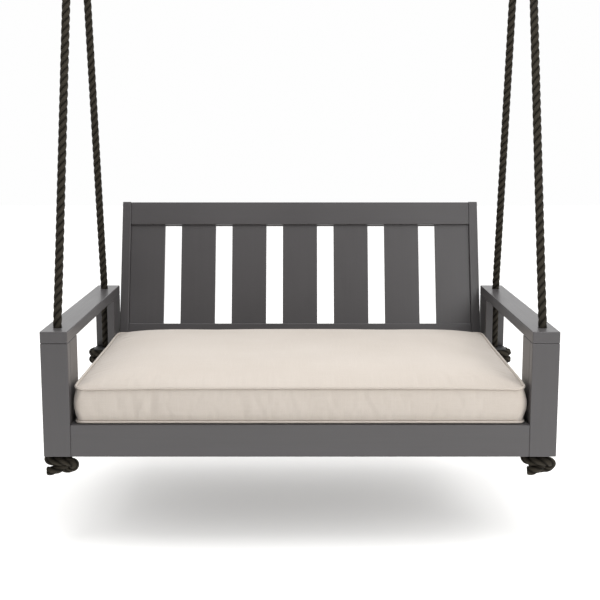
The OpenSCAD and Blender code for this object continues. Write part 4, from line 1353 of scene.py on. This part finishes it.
    def crease(self, shape: np.ndarray, rows: dict) -> np.ndarray:
        """Presses soft creases into the band and puckers into the top beside its seam.

        A crease at the place c along the band is a groove, or a lower ridge, of
        depth * exp(-((s - c - slant * h) / width)^2) that fades out at both seams, where s runs along the
        rim and h up the band. The puckers are a sum of waves along the rim that die away inwards and at
        the corners.

        Args:
            shape: The cushion's points.
            rows: Its named rows of points.

        Returns:
            The points with their creases.
        """
        dice = np.random.default_rng(self.seed)
        band = shape[rows["ids"]]
        seam = band[-1]
        out = self.rim_out(seam)
        along = lengths_along(seam)
        h = np.linspace(-0.5, 0.5, len(band))[:, None]
        depth = np.zeros(band.shape[:2])
        for _ in range(self.crease_count):
            centre = dice.uniform(0, along[-1])
            slant = dice.normal(*self.crease_slant) * MM
            width = dice.uniform(*self.crease_width) * MM
            size = dice.uniform(*self.crease_sizes) * self.crease_depth * dice.choice([1.0, self.ridge_size])
            depth += size * np.exp(-(((along[None] - centre - slant * h) / width) ** 2))
        depth *= np.cos(math.pi * h) ** self.crease_fade
        shape[rows["ids"][1:-1]] -= (depth[..., None] * out[None])[1:-1]
        top = shape[: rows["per"]]
        from_side = self.half_x - np.abs(top[:, 0])
        from_front = self.half_y - np.abs(top[:, 1] - self.centre_y)
        inward = np.minimum(from_side, from_front)
        place = np.where(from_side < from_front, top[:, 1], top[:, 0])
        waves = sum(np.sin(TURN * place / length + phase) for length, phase in self.pucker_waves)
        corner = np.exp(-(((from_side - from_front) / self.corner_reach) ** 2))
        fade = np.clip(inward / self.pucker_start, 0, 1) * np.exp(-inward / self.pucker_reach)
        top[:, 2] += self.pucker_depth * waves / len(self.pucker_waves) * fade * (1 - corner)
        return shape

    def build(self) -> None:
        """Makes the cushion and its two rows of piping in place of its node."""
        points, faces, uv, rows = self.shell()
        piece = new_piece("seat_cushion_sewn", points, faces, uv)
        self.stuff(piece, rows)
        shape = np.empty(len(points) * 3, np.float32)
        piece.data.vertices.foreach_get("co", shape)
        shape = self.crease(shape.reshape(-1, 3).astype(float), rows)
        shape[:, 0] = np.clip(shape[:, 0], -self.leg_x, self.leg_x)
        piece.data.vertices.foreach_set("co", shape.astype(np.float32).ravel())
        finer = piece.modifiers.new("finer", "SUBSURF")
        finer.levels = finer.render_levels = 1
        dress(piece, "seat_cushion", self.finishes.by_slot["cushion_cloth"])
        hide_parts("seat_cushion")
        for name, row in (("bottom", 0), ("top", -1)):
            self.welt(name, shape[rows["ids"][row]])

    def welt(self, name: str, seam: np.ndarray) -> None:
        """A closed tube of piping along a seam.

        Args:
            name: Which seam it is.
            seam: The seam's points, once round.
        """
        line = seam + self.rim_out(seam) * self.welt_out
        for _ in range(2):
            line = (np.roll(line, 1, axis=0) + 2 * line + np.roll(line, -1, axis=0)) / 4
        reach = self.leg_x - self.welt_d / 2
        line[:, 0] = np.clip(line[:, 0], -reach, reach)
        tangent = unit(np.roll(line, -1, axis=0) - np.roll(line, 1, axis=0))
        side = unit(np.cross(tangent, (0.0, 0.0, 1.0)))
        up = np.cross(side, tangent)
        turn = (TURN * np.arange(self.welt_sides) / self.welt_sides)[None, :, None]
        rings = line[:, None] + self.welt_d / 2 * (np.cos(turn) * side[:, None] + np.sin(turn) * up[:, None])
        faces = grid_faces(len(line) + 1, self.welt_sides, True) % (len(line) * self.welt_sides)
        around = np.linspace(0, math.pi * self.welt_d, self.welt_sides + 1)
        uv = grid_corners(around, lengths_along(np.concatenate([line, line[:1]])))
        piece = new_piece(f"cushion_welt_{name}", rings.reshape(-1, 3), list(faces), uv)
        dress(piece, "seat_cushion", self.finishes.by_slot["cushion_cloth"])


def main() -> None:
    """Makes the camera and the ropes first, then everything that they hold up."""
    logging.basicConfig(level=logging.INFO, format="%(message)s")
    studio = Studio()
    studio.camera()
    bodies = {node: body for body, nodes in frame["record"]["behaviour"]["bodies"].items() for node in nodes}
    finishes = Finishes()
    for side in Side:
        RopeSide(side, finishes).build()
        Seizing(side, finishes).build()
    Boards().build(finishes, bodies)
    Hardware().build(finishes, bodies)
    Cushion(finishes).build()
    studio.floor()
    studio.light()


if __name__ == "__main__":
    main()
